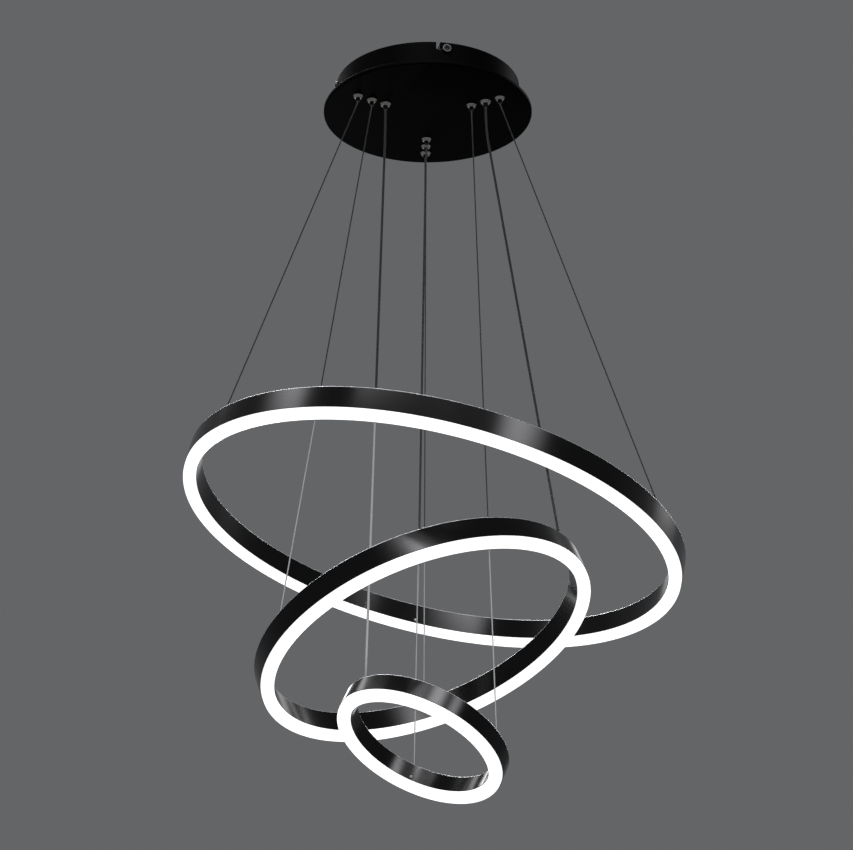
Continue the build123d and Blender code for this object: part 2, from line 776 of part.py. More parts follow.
def make_led_strip(ring):
    """Flexible circuit under the web, with its light-emitting packages."""
    base = ring_plane(ring)
    under_web = web_top(ring) - section_web
    with BuildPart() as strip:
        with BuildSketch(radial_plane(base, 0)):
            with Locations((mid_radius(ring), under_web - strip_thickness / 2)):
                Rectangle(strip_width, strip_thickness)
        revolve(axis=Axis(base.origin, base.z_dir))
        led_count = ceil(2 * pi * mid_radius(ring) / led_pitch)
        for index in range(led_count):
            with BuildSketch(on_ring(ring, 360 / led_count * (index + 0.5), under_web - strip_thickness)):
                Rectangle(led_size, led_size)
            extrude(amount=-led_height)
    return strip


def make_wire_anchors(ring):
    """Two round posts in the upper chamber, each with a cup that keeps a wire's ball."""
    lift = ring.height - anchor_depth - web_top(ring)
    cup = ball_radius + ball_clearance
    lip = lift + sqrt(cup**2 - lip_radius**2)
    with BuildPart() as anchors:
        for row in ring.wire_rows:
            foot = on_ring(ring, row_azimuths[row], web_top(ring))
            with BuildSketch(radial_plane(foot, 0)):
                with BuildLine():
                    Polyline(
                        (lip_radius, lip),
                        (lip_radius + lip_flare, lip + lip_flare),
                        (post_radius, lip + lip_flare),
                        (post_radius, post_base_height),
                        (post_base_radius, post_base_height),
                        (post_base_radius, 0),
                        (0, 0),
                        (0, lift - cup),
                    )
                    ThreePointArc((0, lift - cup), (cup, lift), (lip_radius, lip))
                make_face()
            revolve(axis=Axis(foot.origin, foot.z_dir))
    return anchors


def make_ball(ring, row):
    """Swaged ball on a steel wire's lower end, free to turn in its post."""
    with BuildPart() as ball:
        with BuildSketch(radial_plane(line_end(ring, row), 0)) as half:
            Circle(ball_radius)
            with Locations((-ball_radius, 0)):
                Rectangle(2 * ball_radius, 2 * ball_radius, mode=Mode.SUBTRACT)
        revolve(axis=Axis(line_end(ring, row).origin, line_end(ring, row).z_dir))
    return ball


def make_gland(ring):
    """Cable gland on the web, where the power cable enters the ring."""
    lift = ring.height - anchor_depth - web_top(ring)
    bore = cable_radius + cable_fit
    profile = [
        (bore, 0),
        (gland_base_radius, 0),
        (gland_base_radius, gland_base_height),
        (gland_radius, gland_base_height),
        (gland_radius, lift - gland_nose_radius),
        (gland_nose_radius, lift),
        (bore, lift),
    ]
    foot = on_ring(ring, row_azimuths[ring.cable_row], web_top(ring))
    with BuildPart() as gland:
        with BuildSketch(radial_plane(foot, 0)):
            with BuildLine():
                Polyline(*profile, close=True)
            make_face()
        revolve(axis=Axis(foot.origin, foot.z_dir))
    return gland


def make_splice(ring):
    """Curved plate on the web that joins the channel's two ends."""
    base = ring_plane(ring)
    reach = degrees(splice_length / mid_radius(ring))
    with BuildPart() as splice:
        with BuildSketch(radial_plane(base, ring.seam_azimuth - reach / 2)):
            with Locations((mid_radius(ring), web_top(ring) + splice_thickness / 2)):
                Rectangle(2 * (inner_half - splice_side_fit), splice_thickness)
        revolve(axis=Axis(base.origin, -base.z_dir), revolution_arc=-reach)
        for place in splice_places(ring):
            with BuildSketch(on_ring(ring, place, web_top(ring) + splice_thickness)):
                Circle(splice_screw_radius + thread_fit)
            extrude(amount=-splice_thickness, mode=Mode.SUBTRACT)
    return splice


def make_splice_screws(ring):
    """Two pan-head screws through the splice plate into the web."""
    with BuildPart() as screws:
        for place in splice_places(ring):
            seat = on_ring(ring, place, web_top(ring) + splice_thickness)
            with BuildSketch(seat):
                Circle(splice_head_radius)
            extrude(amount=splice_head_height)
            with BuildSketch(seat):
                Circle(splice_screw_radius)
            extrude(amount=-(splice_thickness + section_web - splice_screw_gap))
    return screws


def make_wall_screws(ring):
    """Three small round-head screws through the channel's inner wall into the diffuser's leg."""
    inside = min(inner_half - diffuser_leg_fit - diffuser_leg_thickness, dome_radius - diffuser_thickness)
    with BuildPart() as screws:
        for row in row_azimuths:
            seat = wall_screw_seat(ring, row)
            with BuildSketch(seat):
                Circle(wall_head_radius)
            extrude(amount=wall_head_height)
            with BuildSketch(seat):
                Circle(wall_screw_radius)
            extrude(amount=-(half_section - inside + wall_screw_tail))
    return screws


# ================================================================ build
def main():
    """Builds and writes every piece."""
    os.makedirs("parts", exist_ok=True)
    save(make_bracket(), "ceiling_bracket")
    save(make_lock_screws(), "lock_screws")
    save(make_skirt(), "canopy_skirt")
    save(make_plate(), "canopy_plate")
    save(make_stud_nuts(), "skirt_nuts")
    for name, azimuth in driver_azimuths.items():
        save(make_driver(azimuth), f"{name}_ring_driver")
    save(make_driver_screws(), "driver_screws")
    save(make_terminal_block(), "terminal_block")
    save(make_wire_grips(), "wire_grips")
    save(make_cord_grips(), "cord_grips")
    save(make_cord_sleeves(), "cord_grip_sleeves")
    save(make_grip_nuts(), "grip_nuts")
    for ring in RINGS:
        for row in ring.wire_rows:
            save(make_plunger(ring, row), f"{ring.name}_{row}_plunger")
            save(make_wire(ring, row), f"{ring.name}_{row}_wire")
            save(make_ball(ring, row), f"{ring.name}_{row}_wire_ball")
        save(make_cable(ring), f"{ring.name}_power_cable")
        save(make_channel(ring), f"{ring.name}_channel")
        save(make_diffuser(ring), f"{ring.name}_diffuser")
        save(make_led_strip(ring), f"{ring.name}_led_strip")
        save(make_wire_anchors(ring), f"{ring.name}_wire_anchors")
        save(make_gland(ring), f"{ring.name}_cable_gland")
        save(make_splice(ring), f"{ring.name}_splice_plate")
        save(make_splice_screws(ring), f"{ring.name}_splice_screws")
        save(make_wall_screws(ring), f"{ring.name}_wall_screws")


main()
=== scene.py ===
"""Three-ring LED chandelier: the looks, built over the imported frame.

Every length in this file is in millimetres until `metres` turns it, and every angle is in degrees. The
origin is the centre of the canopy's ceiling face, with Z up and Y away from the viewer.
"""

import json
import logging
import math
from dataclasses import dataclass, field
from enum import Enum
from typing import Any

import bmesh
import bpy
import numpy as np
from mathutils import Matrix, Vector

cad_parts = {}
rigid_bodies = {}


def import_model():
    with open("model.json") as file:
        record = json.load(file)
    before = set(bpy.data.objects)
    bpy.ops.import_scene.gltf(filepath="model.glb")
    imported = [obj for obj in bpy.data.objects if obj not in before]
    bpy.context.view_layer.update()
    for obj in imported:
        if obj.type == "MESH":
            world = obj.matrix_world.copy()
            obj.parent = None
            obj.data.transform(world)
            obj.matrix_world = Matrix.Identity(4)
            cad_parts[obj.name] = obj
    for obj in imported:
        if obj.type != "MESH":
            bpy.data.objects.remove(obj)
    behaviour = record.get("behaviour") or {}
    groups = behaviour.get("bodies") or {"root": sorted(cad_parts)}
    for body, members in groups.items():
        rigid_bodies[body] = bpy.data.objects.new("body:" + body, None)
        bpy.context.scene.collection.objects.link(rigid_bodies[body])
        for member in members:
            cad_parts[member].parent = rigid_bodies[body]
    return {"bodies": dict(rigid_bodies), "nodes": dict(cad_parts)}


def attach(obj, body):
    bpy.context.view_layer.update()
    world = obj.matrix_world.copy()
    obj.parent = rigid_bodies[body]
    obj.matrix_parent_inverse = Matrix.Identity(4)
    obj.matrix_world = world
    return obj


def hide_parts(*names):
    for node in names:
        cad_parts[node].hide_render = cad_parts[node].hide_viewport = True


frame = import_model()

LOG = logging.getLogger("chandelier")


# ------------------------------------------------------------------------------------------- units
def metres(value: Any) -> Any:
    """Turns millimetres into metres, for a number or an array."""
    return np.asarray(value, float) * 0.001


def per_metre(size_mm: float) -> float:
    """How many pattern features of this size fit in a metre, which is a texture node's scale."""
    return 1000.0 / size_mm


def linear_colour(code: str) -> tuple[float, float, float, float]:
    """Turns an sRGB hex colour into the linear RGBA that shader sockets take.

    Each channel c becomes c / 12.92 up to 0.04045, and ((c + 0.055) / 1.055) ** 2.4 above it.

    Args:
        code: The colour as six hex digits after a hash.

    Returns:
        Linear red, green and blue, and an alpha of 1.
    """
    channels = np.array([int(code[i : i + 2], 16) for i in (1, 3, 5)]) / 255.0
    low = channels / 12.92
    high = ((channels + 0.055) / 1.055) ** 2.4
    red, green, blue = np.where(channels <= 0.04045, low, high)
    return float(red), float(green), float(blue), 1.0


# ---------------------------------------------------------------------------------- surfaces in numpy
@dataclass(frozen=True)
class Pose:
    """A place for a turned or carried shape: an origin in millimetres and three unit axes."""

    origin: np.ndarray
    x: np.ndarray
    y: np.ndarray
    z: np.ndarray

    def put(self, local: np.ndarray) -> np.ndarray:
        """Places local points: origin + x times the first column + y times the second + z times the third."""
        return self.origin + local @ np.stack([self.x, self.y, self.z])


def upright(origin: np.ndarray | tuple[float, float, float]) -> Pose:
    """A level place at a point."""
    return Pose(np.asarray(origin, float), *np.eye(3))


def turned_vector(vector: np.ndarray, axis: np.ndarray, angle: float) -> np.ndarray:
    """Turns a vector about a unit axis.

    The part along the axis stays, the part across it is scaled by the angle's cosine, and the axis
    crossed with the vector is added, scaled by the sine.

    Args:
        vector: What is turned.
        axis: Unit axis.
        angle: Degrees, by the right-hand rule.

    Returns:
        The turned vector.
    """
    c, s = math.cos(math.radians(angle)), math.sin(math.radians(angle))
    return vector * c + np.cross(axis, vector) * s + axis * float(axis @ vector) * (1 - c)


def rounded_outline(corners: list[tuple[float, float, float]], steps: int = 4) -> np.ndarray:
    """A closed outline whose corners are arcs.

    At each corner the arc touches both sides at radius / tan(half the corner's inner angle) from it, and
    its points are blended on a circle between those two touches by equal angles. One more point stands on
    each side, a tenth of a radius past the touch, so that smooth shading keeps the sides flat.

    Args:
        corners: Each corner's two coordinates and its radius, in order round the outline.
        steps: Segments of each arc.

    Returns:
        Points of the outline, one row each.
    """
    points = []
    spots = np.array([c[:2] for c in corners], float)
    for index, (_, _, radius) in enumerate(corners):
        here = spots[index]
        if radius <= 0:
            points.append(here[None])
            continue
        back = spots[index - 1] - here
        ahead = spots[(index + 1) % len(spots)] - here
        back, ahead = back / np.linalg.norm(back), ahead / np.linalg.norm(ahead)
        half = 0.5 * math.acos(float(np.clip(back @ ahead, -1, 1)))
        reach = radius / math.tan(half)
        middle = back + ahead
        centre = here + middle / np.linalg.norm(middle) * radius / math.sin(half)
        start, end = here + back * reach - centre, here + ahead * reach - centre
        sweep = math.pi - 2 * half
        t = np.linspace(0, 1, steps + 1)[:, None]
        arc = centre + (start * np.sin((1 - t) * sweep) + end * np.sin(t * sweep)) / math.sin(sweep)
        guard = 0.1 * radius
        points += [arc[:1] + back * guard, arc, arc[-1:] + ahead * guard]
    return np.concatenate(points)


def travelled(points: np.ndarray, closed: bool) -> np.ndarray:
    """Distance along a line of points, with the closing stretch added when the line is closed."""
    line = np.concatenate([points, points[:1]]) if closed else points
    return np.concatenate([[0.0], np.cumsum(np.linalg.norm(np.diff(line, axis=0), axis=1))])


def grid_mesh(
    name: str,
    points: np.ndarray,
    wrap_rows: bool = False,
    wrap_columns: bool = False,
    u: np.ndarray | None = None,
    v: np.ndarray | None = None,
    capped: bool = False,
) -> bpy.types.Mesh:
    """Makes a mesh from a grid of points.

    The face at row i and column j joins points (i, j), (i + 1, j), (i + 1, j + 1) and (i, j + 1), counted
    round where a direction wraps. The UV map holds u of the row and v of the column, in metres.

    Args:
        name: The mesh's name.
        points: Rows by columns by 3, in millimetres.
        wrap_rows: Whether the last row joins the first.
        wrap_columns: Whether the last column joins the first.
        u: Distance at each row line, one more than the faces in that direction.
        v: Distance at each column line, likewise.
        capped: Whether the first and last rows are closed with one face each.

    Returns:
        The mesh, not yet finished.
    """
    rows, columns = points.shape[:2]
    i, j = np.meshgrid(
        np.arange(rows if wrap_rows else rows - 1),
        np.arange(columns if wrap_columns else columns - 1),
        indexing="ij",
    )
    i, j = i.ravel(), j.ravel()
    corner_rows = np.stack([i, i + 1, i + 1, i], 1)
    corner_columns = np.stack([j, j, j + 1, j + 1], 1)
    quads = (corner_rows % rows) * columns + corner_columns % columns
    faces: list[Any] = quads.tolist()
    uv = np.zeros((quads.size, 2))
    if u is not None and v is not None:
        uv = np.stack([metres(u)[corner_rows].ravel(), metres(v)[corner_columns].ravel()], 1)
    if capped:
        first = list(range(columns))
        last = list(range((rows - 1) * columns, rows * columns))
        faces += [first[::-1], last]
        uv = np.concatenate([uv, np.zeros((2 * columns, 2))])
    mesh = bpy.data.meshes.new(name)
    mesh.from_pydata(metres(points).reshape(-1, 3).tolist(), [], faces)
    layer = mesh.uv_layers.new(name="surface")
    layer.data.foreach_set("uv", uv.astype(np.float32).ravel())
    return mesh


def turned_mesh(
    name: str, outline: np.ndarray, place: Pose, segments: int, arc: tuple[float, float] = (0, 360)
) -> bpy.types.Mesh:
    """Turns a closed outline about a place's Z axis.

    A point (r, h) of the outline at angle a lies at r cos a along X, r sin a along Y and h along Z.

    Args:
        name: The mesh's name.
        outline: Closed outline, radius and height in millimetres.
        place: Where the axis stands.
        segments: Steps round the axis.
        arc: First and last angle. Less than a full turn is closed with two flat ends.

    Returns:
        The mesh, not yet finished.
    """
    whole = arc[1] - arc[0] >= 360
    angles = np.radians(np.linspace(*arc, segments + 1))
    if whole:
        angles = angles[:-1]
    radius, height = outline[:, 0], outline[:, 1]
    local = np.stack(
        [
            np.cos(angles)[:, None] * radius,
            np.sin(angles)[:, None] * radius,
            np.broadcast_to(height, (len(angles), len(outline))),
        ],
        -1,
    )
    around = np.radians(np.linspace(*arc, segments + 1)) * float(radius.max())
    return grid_mesh(name, place.put(local), whole, True, around, travelled(outline, True), capped=not whole)


def tube_mesh(name: str, line: np.ndarray, radius: float, sides: int) -> bpy.types.Mesh:
    """Carries a circle along a line of points.

    The circle's frame at each point is the one before it, turned by the least turn that brings its
    direction to the line's. A point at angle a lies at radius times (cos a across + sin a up).

    Args:
        name: The mesh's name.
        line: Points of the line, in millimetres.
        radius: The tube's radius.
        sides: Points round it.

    Returns:
        The mesh, closed at both ends.
    """
    steps = np.gradient(line, axis=0)
    along = steps / np.linalg.norm(steps, axis=1)[:, None]
    across = np.cross(along[0], [0.3, 0.9, 0.1])
    frames = []
    for direction in along:
        across = across - direction * float(across @ direction)
        across = across / np.linalg.norm(across)
        frames.append(across)
    side = np.array(frames)
    up = np.cross(along, side)
    angles = np.radians(np.linspace(0, 360, sides + 1))[:-1]
    ring = np.cos(angles)[None, :, None] * side[:, None] + np.sin(angles)[None, :, None] * up[:, None]
    points = line[:, None] + radius * ring
    around = np.linspace(0, 2 * math.pi * radius, sides + 1)
    return grid_mesh(name, points, False, True, travelled(line, False), around, capped=True)


def finished(mesh: bpy.types.Mesh, crease: float = 32.0) -> bpy.types.Mesh:
    """Merges doubles, turns the faces outward and shades smooth, with edges over the crease angle sharp.

    Args:
        mesh: The mesh to finish.
        crease: Angle between two faces, in degrees, past which their edge stays sharp.

    Returns:
        The same mesh.
    """
    work = bmesh.new()
    work.from_mesh(mesh)
    bmesh.ops.remove_doubles(work, verts=work.verts, dist=1e-7)
    bmesh.ops.dissolve_degenerate(work, edges=work.edges, dist=1e-8)
    bmesh.ops.recalc_face_normals(work, faces=work.faces)
    limit = math.radians(crease)
    for edge in work.edges:
        edge.smooth = len(edge.link_faces) == 2 and edge.calc_face_angle(0.0) < limit
    for face in work.faces:
        face.smooth = True
    work.to_mesh(mesh)
    work.free()
    return mesh


def joined(name: str, meshes: list[bpy.types.Mesh]) -> bpy.types.Mesh:
    """Puts several meshes into one, in order, and removes them.

    Args:
        name: The new mesh's name.
        meshes: What goes into it.

    Returns:
        The new mesh.
    """
    work = bmesh.new()
    for mesh in meshes:
        work.from_mesh(mesh)
        bpy.data.meshes.remove(mesh)
    whole = bpy.data.meshes.new(name)
    work.to_mesh(whole)
    work.free()
    return whole


def cad_copy(node: str, crease: float = 28.0) -> bpy.types.Mesh:
    """A merged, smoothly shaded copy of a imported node's mesh, which itself is left alone.

    Args:
        node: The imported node's name.
        crease: Angle between two faces, in degrees, past which their edge stays sharp.

    Returns:
        The copy.
    """
    mesh = frame["nodes"][node].data.copy()
    mesh.materials.clear()
    work = bmesh.new()
    work.from_mesh(mesh)
    bmesh.ops.remove_doubles(work, verts=work.verts, dist=2e-6)
    work.to_mesh(mesh)
    work.free()
    if not mesh.uv_layers:
        mesh.uv_layers.new(name="surface")
    return finished(mesh, crease)


# --------------------------------------------------------------------------------------- materials
def add_node(
    tree: bpy.types.NodeTree, kind: str, settings: dict | None = None, inputs: dict | None = None
) -> bpy.types.Node:
    """Adds a node, sets its properties, and sets or links its inputs.

    Args:
        tree: The node tree.
        kind: The node's type.
        settings: Property names and values.
        inputs: Socket names or numbers, each with a value or with the output socket to link.

    Returns:
        The node.
    """
    node = tree.nodes.new(kind)
    for key, value in (settings or {}).items():
        setattr(node, key, value)
    for key, value in (inputs or {}).items():
        if isinstance(value, bpy.types.NodeSocket):
            tree.links.new(value, node.inputs[key])
        else:
            node.inputs[key].default_value = value
    return node


def rays_that_see(tree: bpy.types.NodeTree) -> bpy.types.NodeSocket:
    """One for rays from the camera, off shiny surfaces and through clear ones, and zero for all others.

    Args:
        tree: The node tree of the floor's paint or of the world.

    Returns:
        The socket that holds the larger of the three.
    """
    path = add_node(tree, "ShaderNodeLightPath")
    seen = path.outputs["Is Camera Ray"]
    for ray in ("Is Glossy Ray", "Is Transmission Ray"):
        larger = add_node(tree, "ShaderNodeMath", {"operation": "MAXIMUM"}, {0: seen, 1: path.outputs[ray]})
        seen = larger.outputs[0]
    return seen


class Coordinates(Enum):
    """Where a pattern is measured: in the object's own space, or along the surface's UV map."""

    OBJECT = "Object"
    SURFACE = "UV"


@dataclass(frozen=True)
class Finish:
    """A finish: its colour, how it reflects, and the fine pattern of how its surface was made."""

    name: str
    colour: str
    roughness: float
    metallic: float = 0.0
    ior: float = 1.5
    specular: float = 0.5
    grain_mm: tuple[float, float, float] = (0.5, 0.5, 0.5)
    grain_space: Coordinates = Coordinates.OBJECT
    grain_colour: float = 0.1  # share by which the grain darkens and lightens the colour
    grain_roughness: float = 0.05
    grain_height_mm: float = 0.01

    def grain(self, tree: bpy.types.NodeTree) -> bpy.types.Node:
        """Noise whose features measure grain_mm along each direction of the chosen coordinates.

        Args:
            tree: The material's node tree.

        Returns:
            The noise node.
        """
        source = add_node(tree, "ShaderNodeTexCoord")
        scale = tuple(per_metre(size) for size in self.grain_mm)
        mapping = add_node(
            tree,
            "ShaderNodeMapping",
            inputs={"Vector": source.outputs[self.grain_space.value], "Scale": scale},
        )
        return add_node(
            tree,
            "ShaderNodeTexNoise",
            inputs={"Vector": mapping.outputs["Vector"], "Scale": 1.0, "Detail": 3.0, "Roughness": 0.6},
        )

    def shade(self, tree: bpy.types.NodeTree) -> bpy.types.Node:
        """Builds the main shader with the grain in its colour, roughness and bump.

        Args:
            tree: The material's node tree.

        Returns:
            The Principled node.
        """
        grain = self.grain(tree).outputs["Fac"]
        colour = linear_colour(self.colour)
        dark = tuple(c * (1 - self.grain_colour) for c in colour[:3]) + (1.0,)
        light = tuple(min(1.0, c * (1 + self.grain_colour)) for c in colour[:3]) + (1.0,)
        mixed = add_node(
            tree, "ShaderNodeMix", {"data_type": "RGBA"}, {"Factor": grain, 6: dark, 7: light}
        )
        rough = add_node(
            tree,
            "ShaderNodeMapRange",
            inputs={
                "Value": grain,
                "From Min": 0.3,
                "From Max": 0.7,
                "To Min": max(0.02, self.roughness - self.grain_roughness),
                "To Max": min(1.0, self.roughness + self.grain_roughness),
            },
        )
        bump = add_node(
            tree,
            "ShaderNodeBump",
            inputs={"Height": grain, "Distance": float(metres(self.grain_height_mm)), "Strength": 1.0},
        )
        return add_node(
            tree,
            "ShaderNodeBsdfPrincipled",
            inputs={
                "Base Color": mixed.outputs[2],
                "Roughness": rough.outputs["Result"],
                "Normal": bump.outputs["Normal"],
                "Metallic": self.metallic,
                "IOR": self.ior,
                "Specular IOR Level": self.specular,
            },
        )

    def build(self) -> bpy.types.Material:
        """Makes the material once, and gives the same one again after that.

        Returns:
            The material.
        """
        known = bpy.data.materials.get(self.name)
        if known is not None:
            return known
        material = bpy.data.materials.new(self.name)
        material.use_nodes = True
        tree = material.node_tree
        tree.nodes.clear()
        shader = self.shade(tree)
        add_node(tree, "ShaderNodeOutputMaterial", inputs={"Surface": shader.outputs[0]})
        return material


@dataclass(frozen=True)
class LitOpal(Finish):
    """Opal polycarbonate with LEDs behind it: white, brightest along the middle of its dome."""

    glow: float = 1.3
    glow_at_sides: float = 0.95
    dome_mm: float = 7.4 * math.pi  # length of the half-round

    def shade(self, tree: bpy.types.NodeTree) -> bpy.types.Node:
        """Adds a glow that falls from the dome's middle to its sides, by the surface's own coordinate.

        Args:
            tree: The material's node tree.

        Returns:
            The Principled node.
        """
        shader = super().shade(tree)
        source = add_node(tree, "ShaderNodeTexCoord")
        split = add_node(tree, "ShaderNodeSeparateXYZ", inputs={0: source.outputs["UV"]})
        half = float(metres(self.dome_mm / 2))
        centred = add_node(tree, "ShaderNodeMath", {"operation": "SUBTRACT"}, {0: split.outputs[1], 1: half})
        away = add_node(tree, "ShaderNodeMath", {"operation": "ABSOLUTE"}, {0: centred.outputs[0]})
        strength = add_node(
            tree,
            "ShaderNodeMapRange",
            inputs={
                "Value": away.outputs[0],
                "From Min": 0.0,
                "From Max": half,
                "To Min": self.glow,
                "To Max": self.glow_at_sides,
            },
        )
        shader.inputs["Emission Color"].default_value = linear_colour("#ffffff")
        tree.links.new(strength.outputs["Result"], shader.inputs["Emission Strength"])
        return shader


@dataclass(frozen=True)
class StudioPaint(Finish):
    """Paint of the studio's floor: it shows the backdrop's grey, and the object's shadow on top of it."""

    own_light: float = 0.3  # share of the grey that it shows whatever falls on it

    def shade(self, tree: bpy.types.NodeTree) -> bpy.types.Node:
        """Adds the grey for rays from the camera, from shiny surfaces and through clear ones.

        Args:
            tree: The material's node tree.

        Returns:
            The Principled node.
        """
        shader = super().shade(tree)
        seen = rays_that_see(tree)
        strength = add_node(tree, "ShaderNodeMath", {"operation": "MULTIPLY"}, {0: seen, 1: self.own_light})
        shader.inputs["Emission Color"].default_value = linear_colour(self.colour)
        tree.links.new(strength.outputs[0], shader.inputs["Emission Strength"])
        return shader


@dataclass(frozen=True)
class StrandedSteel(Finish):
    """Fine steel rope: strands wind round it, and show as slanted bands that are lighter and darker."""

    lay_mm: float = 6.0
    strands: int = 7

    def grain(self, tree: bpy.types.NodeTree) -> bpy.types.Node:
        """Bands that wind round the rope, one for each strand in each lay length.

        Args:
            tree: The material's node tree.

        Returns:
            The wave node.
        """
        source = add_node(tree, "ShaderNodeTexCoord")
        around = 2 * math.pi * LineSizes().wire_radius
        scale = (per_metre(self.lay_mm) * self.strands, per_metre(around) * self.strands, 1.0)
        mapping = add_node(
            tree, "ShaderNodeMapping", inputs={"Vector": source.outputs["UV"], "Scale": scale}
        )
        return add_node(
            tree,
            "ShaderNodeTexWave",
            {"wave_type": "BANDS", "bands_direction": "DIAGONAL"},
            {"Vector": mapping.outputs["Vector"], "Scale": 0.5, "Distortion": 0.3},
        )


# Black anodised aluminium, extruded: a dark metal that mirrors the lamps as soft bands, with faint die
# lines along the ring in its colour and shine. It has no relief, which would break the bands up.
ANODISED_BLACK = Finish(
    "anodised_aluminium_black",
    "#353536",
    roughness=0.17,
    metallic=1.0,
    grain_mm=(120.0, 0.8, 1.0),
    grain_space=Coordinates.SURFACE,
    grain_colour=0.04,
    grain_roughness=0.004,
    grain_height_mm=0.0,
)
# The cut upper edge of the extrusion: bare metal, drawn bright as a painted highlight, so that it shows as a
# thin light line.
CUT_EDGE_HIGHLIGHT = Finish(
    "anodised_aluminium_cut_edge",
    "#dcdddf",
    roughness=0.5,
    metallic=1.0,
    grain_mm=(8.0, 0.2, 1.0),
    grain_space=Coordinates.SURFACE,
    grain_height_mm=0.0005,
)
# Matt black powder coat on steel and on the plate: a fine pebbled skin. It reflects less than a usual
# coat does, because the canopy is all but black in the photograph.
POWDER_BLACK = Finish(
    "powder_coat_black",
    "#030303",
    roughness=0.5,
    specular=0.012,
    grain_mm=(0.35, 0.35, 0.35),
    grain_colour=0.2,
    grain_height_mm=0.004,
)
# Steel of the ceiling bracket, dark blue-grey like black oxide, oiled and dull: painted shade, so that the
# canopy's inside seen through the slots stays dark.
BRACKET_PAINTED_SHADE = Finish(
    "black_oxide_steel",
    "#18191b",
    roughness=0.55,
    metallic=1.0,
    grain_mm=(3.0, 3.0, 3.0),
    grain_colour=0.2,
    grain_height_mm=0.002,
)
# Black zinc plate on the lock screws: dark metal with a low shine.
PLATED_BLACK = Finish(
    "black_zinc_plate",
    "#242426",
    roughness=0.4,
    metallic=1.0,
    grain_mm=(0.6, 0.6, 0.6),
    grain_height_mm=0.003,
)
# The same screws' rims and recesses, drawn paler as a painted highlight.
PLATED_HIGHLIT_RIM = Finish(
    "black_zinc_plate_worn",
    "#505052",
    roughness=0.5,
    metallic=1.0,
    grain_mm=(0.6, 0.6, 0.6),
    grain_height_mm=0.003,
)
# Nickel plate on turned brass: satin, warm grey, with faint lathe marks.
NICKEL_PLATE = Finish(
    "nickel_plate_satin",
    "#b0ada8",
    roughness=0.2,
    metallic=1.0,
    grain_mm=(3.0, 3.0, 0.12),
    grain_colour=0.03,
    grain_height_mm=0.0005,
)
# The pressed tips: the same plate, drawn darker.
NICKEL_DARK = Finish(
    "nickel_plate_dark",
    "#4a4a4c",
    roughness=0.3,
    metallic=1.0,
    grain_mm=(3.0, 3.0, 0.12),
    grain_height_mm=0.0008,
)
# Nickel plate on tumbled screws: pale and matt, so that the small heads show against the black wall.
NICKEL_BRIGHT = Finish(
    "nickel_plate_tumbled",
    "#e6e6e4",
    roughness=0.55,
    metallic=1.0,
    grain_mm=(0.8, 0.8, 0.8),
    grain_height_mm=0.004,
)
# Zinc plate on pressed steel: cool grey with a cloudy crystal pattern a few millimetres wide.
ZINC_PLATE = Finish(
    "zinc_plate",
    "#a9adb1",
    roughness=0.38,
    metallic=1.0,
    grain_mm=(4.0, 4.0, 4.0),
    grain_colour=0.14,
    grain_roughness=0.1,
    grain_height_mm=0.001,
)
# Steel rope, 1.5 mm, of fine dull strands: mid grey. The strands scatter light so widely that the rope is
# shaded as a matt surface and not as a metal.
STEEL_ROPE = StrandedSteel(
    "steel_rope",
    "#a4a6a8",
    roughness=0.6,
    specular=0.2,
    grain_space=Coordinates.SURFACE,
    grain_colour=0.12,
    grain_height_mm=0.02,
)
# Grey PVC over two cores: soft, nearly dull, with shallow drawing marks.
PVC_JACKET = Finish(
    "pvc_jacket_grey",
    "#a2a4a7",
    roughness=0.55,
    specular=0.3,
    ior=1.53,
    grain_mm=(9.0, 0.5, 1.0),
    grain_space=Coordinates.SURFACE,
    grain_colour=0.06,
    grain_height_mm=0.004,
)
# Opal polycarbonate, extruded and bent: white and lit from behind.
OPAL_LIT = LitOpal(
    "opal_polycarbonate_lit",
    "#f4f4f2",
    roughness=0.35,
    ior=1.58,
    grain_mm=(20.0, 1.0, 1.0),
    grain_space=Coordinates.SURFACE,
    grain_colour=0.01,
    grain_height_mm=0.001,
)
# Moulded ABS of the drivers: warm white with a fine spark-eroded texture.
ABS_WHITE = Finish(
    "abs_white", "#dedcd6", roughness=0.55, grain_mm=(0.4, 0.4, 0.4), grain_height_mm=0.01, grain_colour=0.03
)
# Polyamide of the terminal block: cream with a moulded sheen.
POLYAMIDE_CREAM = Finish(
    "polyamide_cream", "#d9d2bd", roughness=0.4, ior=1.53, grain_mm=(1.5, 1.5, 1.5), grain_colour=0.04
)
# Black polyamide of the sleeves and glands: dark with a low moulded sheen.
POLYAMIDE_BLACK = Finish(
    "polyamide_black", "#141414", roughness=0.45, ior=1.53, grain_mm=(0.5, 0.5, 0.5), grain_height_mm=0.006
)
# White solder mask of the LED strip.
SOLDER_MASK = Finish(
    "solder_mask_white",
    "#e9e8e1",
    roughness=0.3,
    grain_mm=(1.0, 1.0, 1.0),
    grain_colour=0.03,
    grain_height_mm=0.004,
)
# Painted floor of the studio.
FLOOR_PAINT = StudioPaint(
    "studio_floor_paint", "#646567", roughness=0.9, grain_mm=(300.0, 300.0, 300.0), grain_colour=0.02
)


# -------------------------------------------------------------------------------------- the pieces
def piece(
    name: str, mesh: bpy.types.Mesh, finishes: list[Finish], body: str, nodes: list[str]
) -> bpy.types.Object:
    """Shows a mesh as a piece of the object.

    Args:
        name: The piece's name.
        mesh: Its finished mesh.
        finishes: Its materials, in the order of its faces' material numbers.
        body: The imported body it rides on.
        nodes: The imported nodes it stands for.

    Returns:
        The object.
    """
    made = bpy.data.objects.new(name, mesh)
    bpy.context.scene.collection.objects.link(made)
    for finish in finishes:
        mesh.materials.append(finish.build())
    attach(made, body)
    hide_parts(*nodes)
    LOG.info("%s: %d vertices, %d faces, rides on %s", name, len(mesh.vertices), len(mesh.polygons), body)
    return made


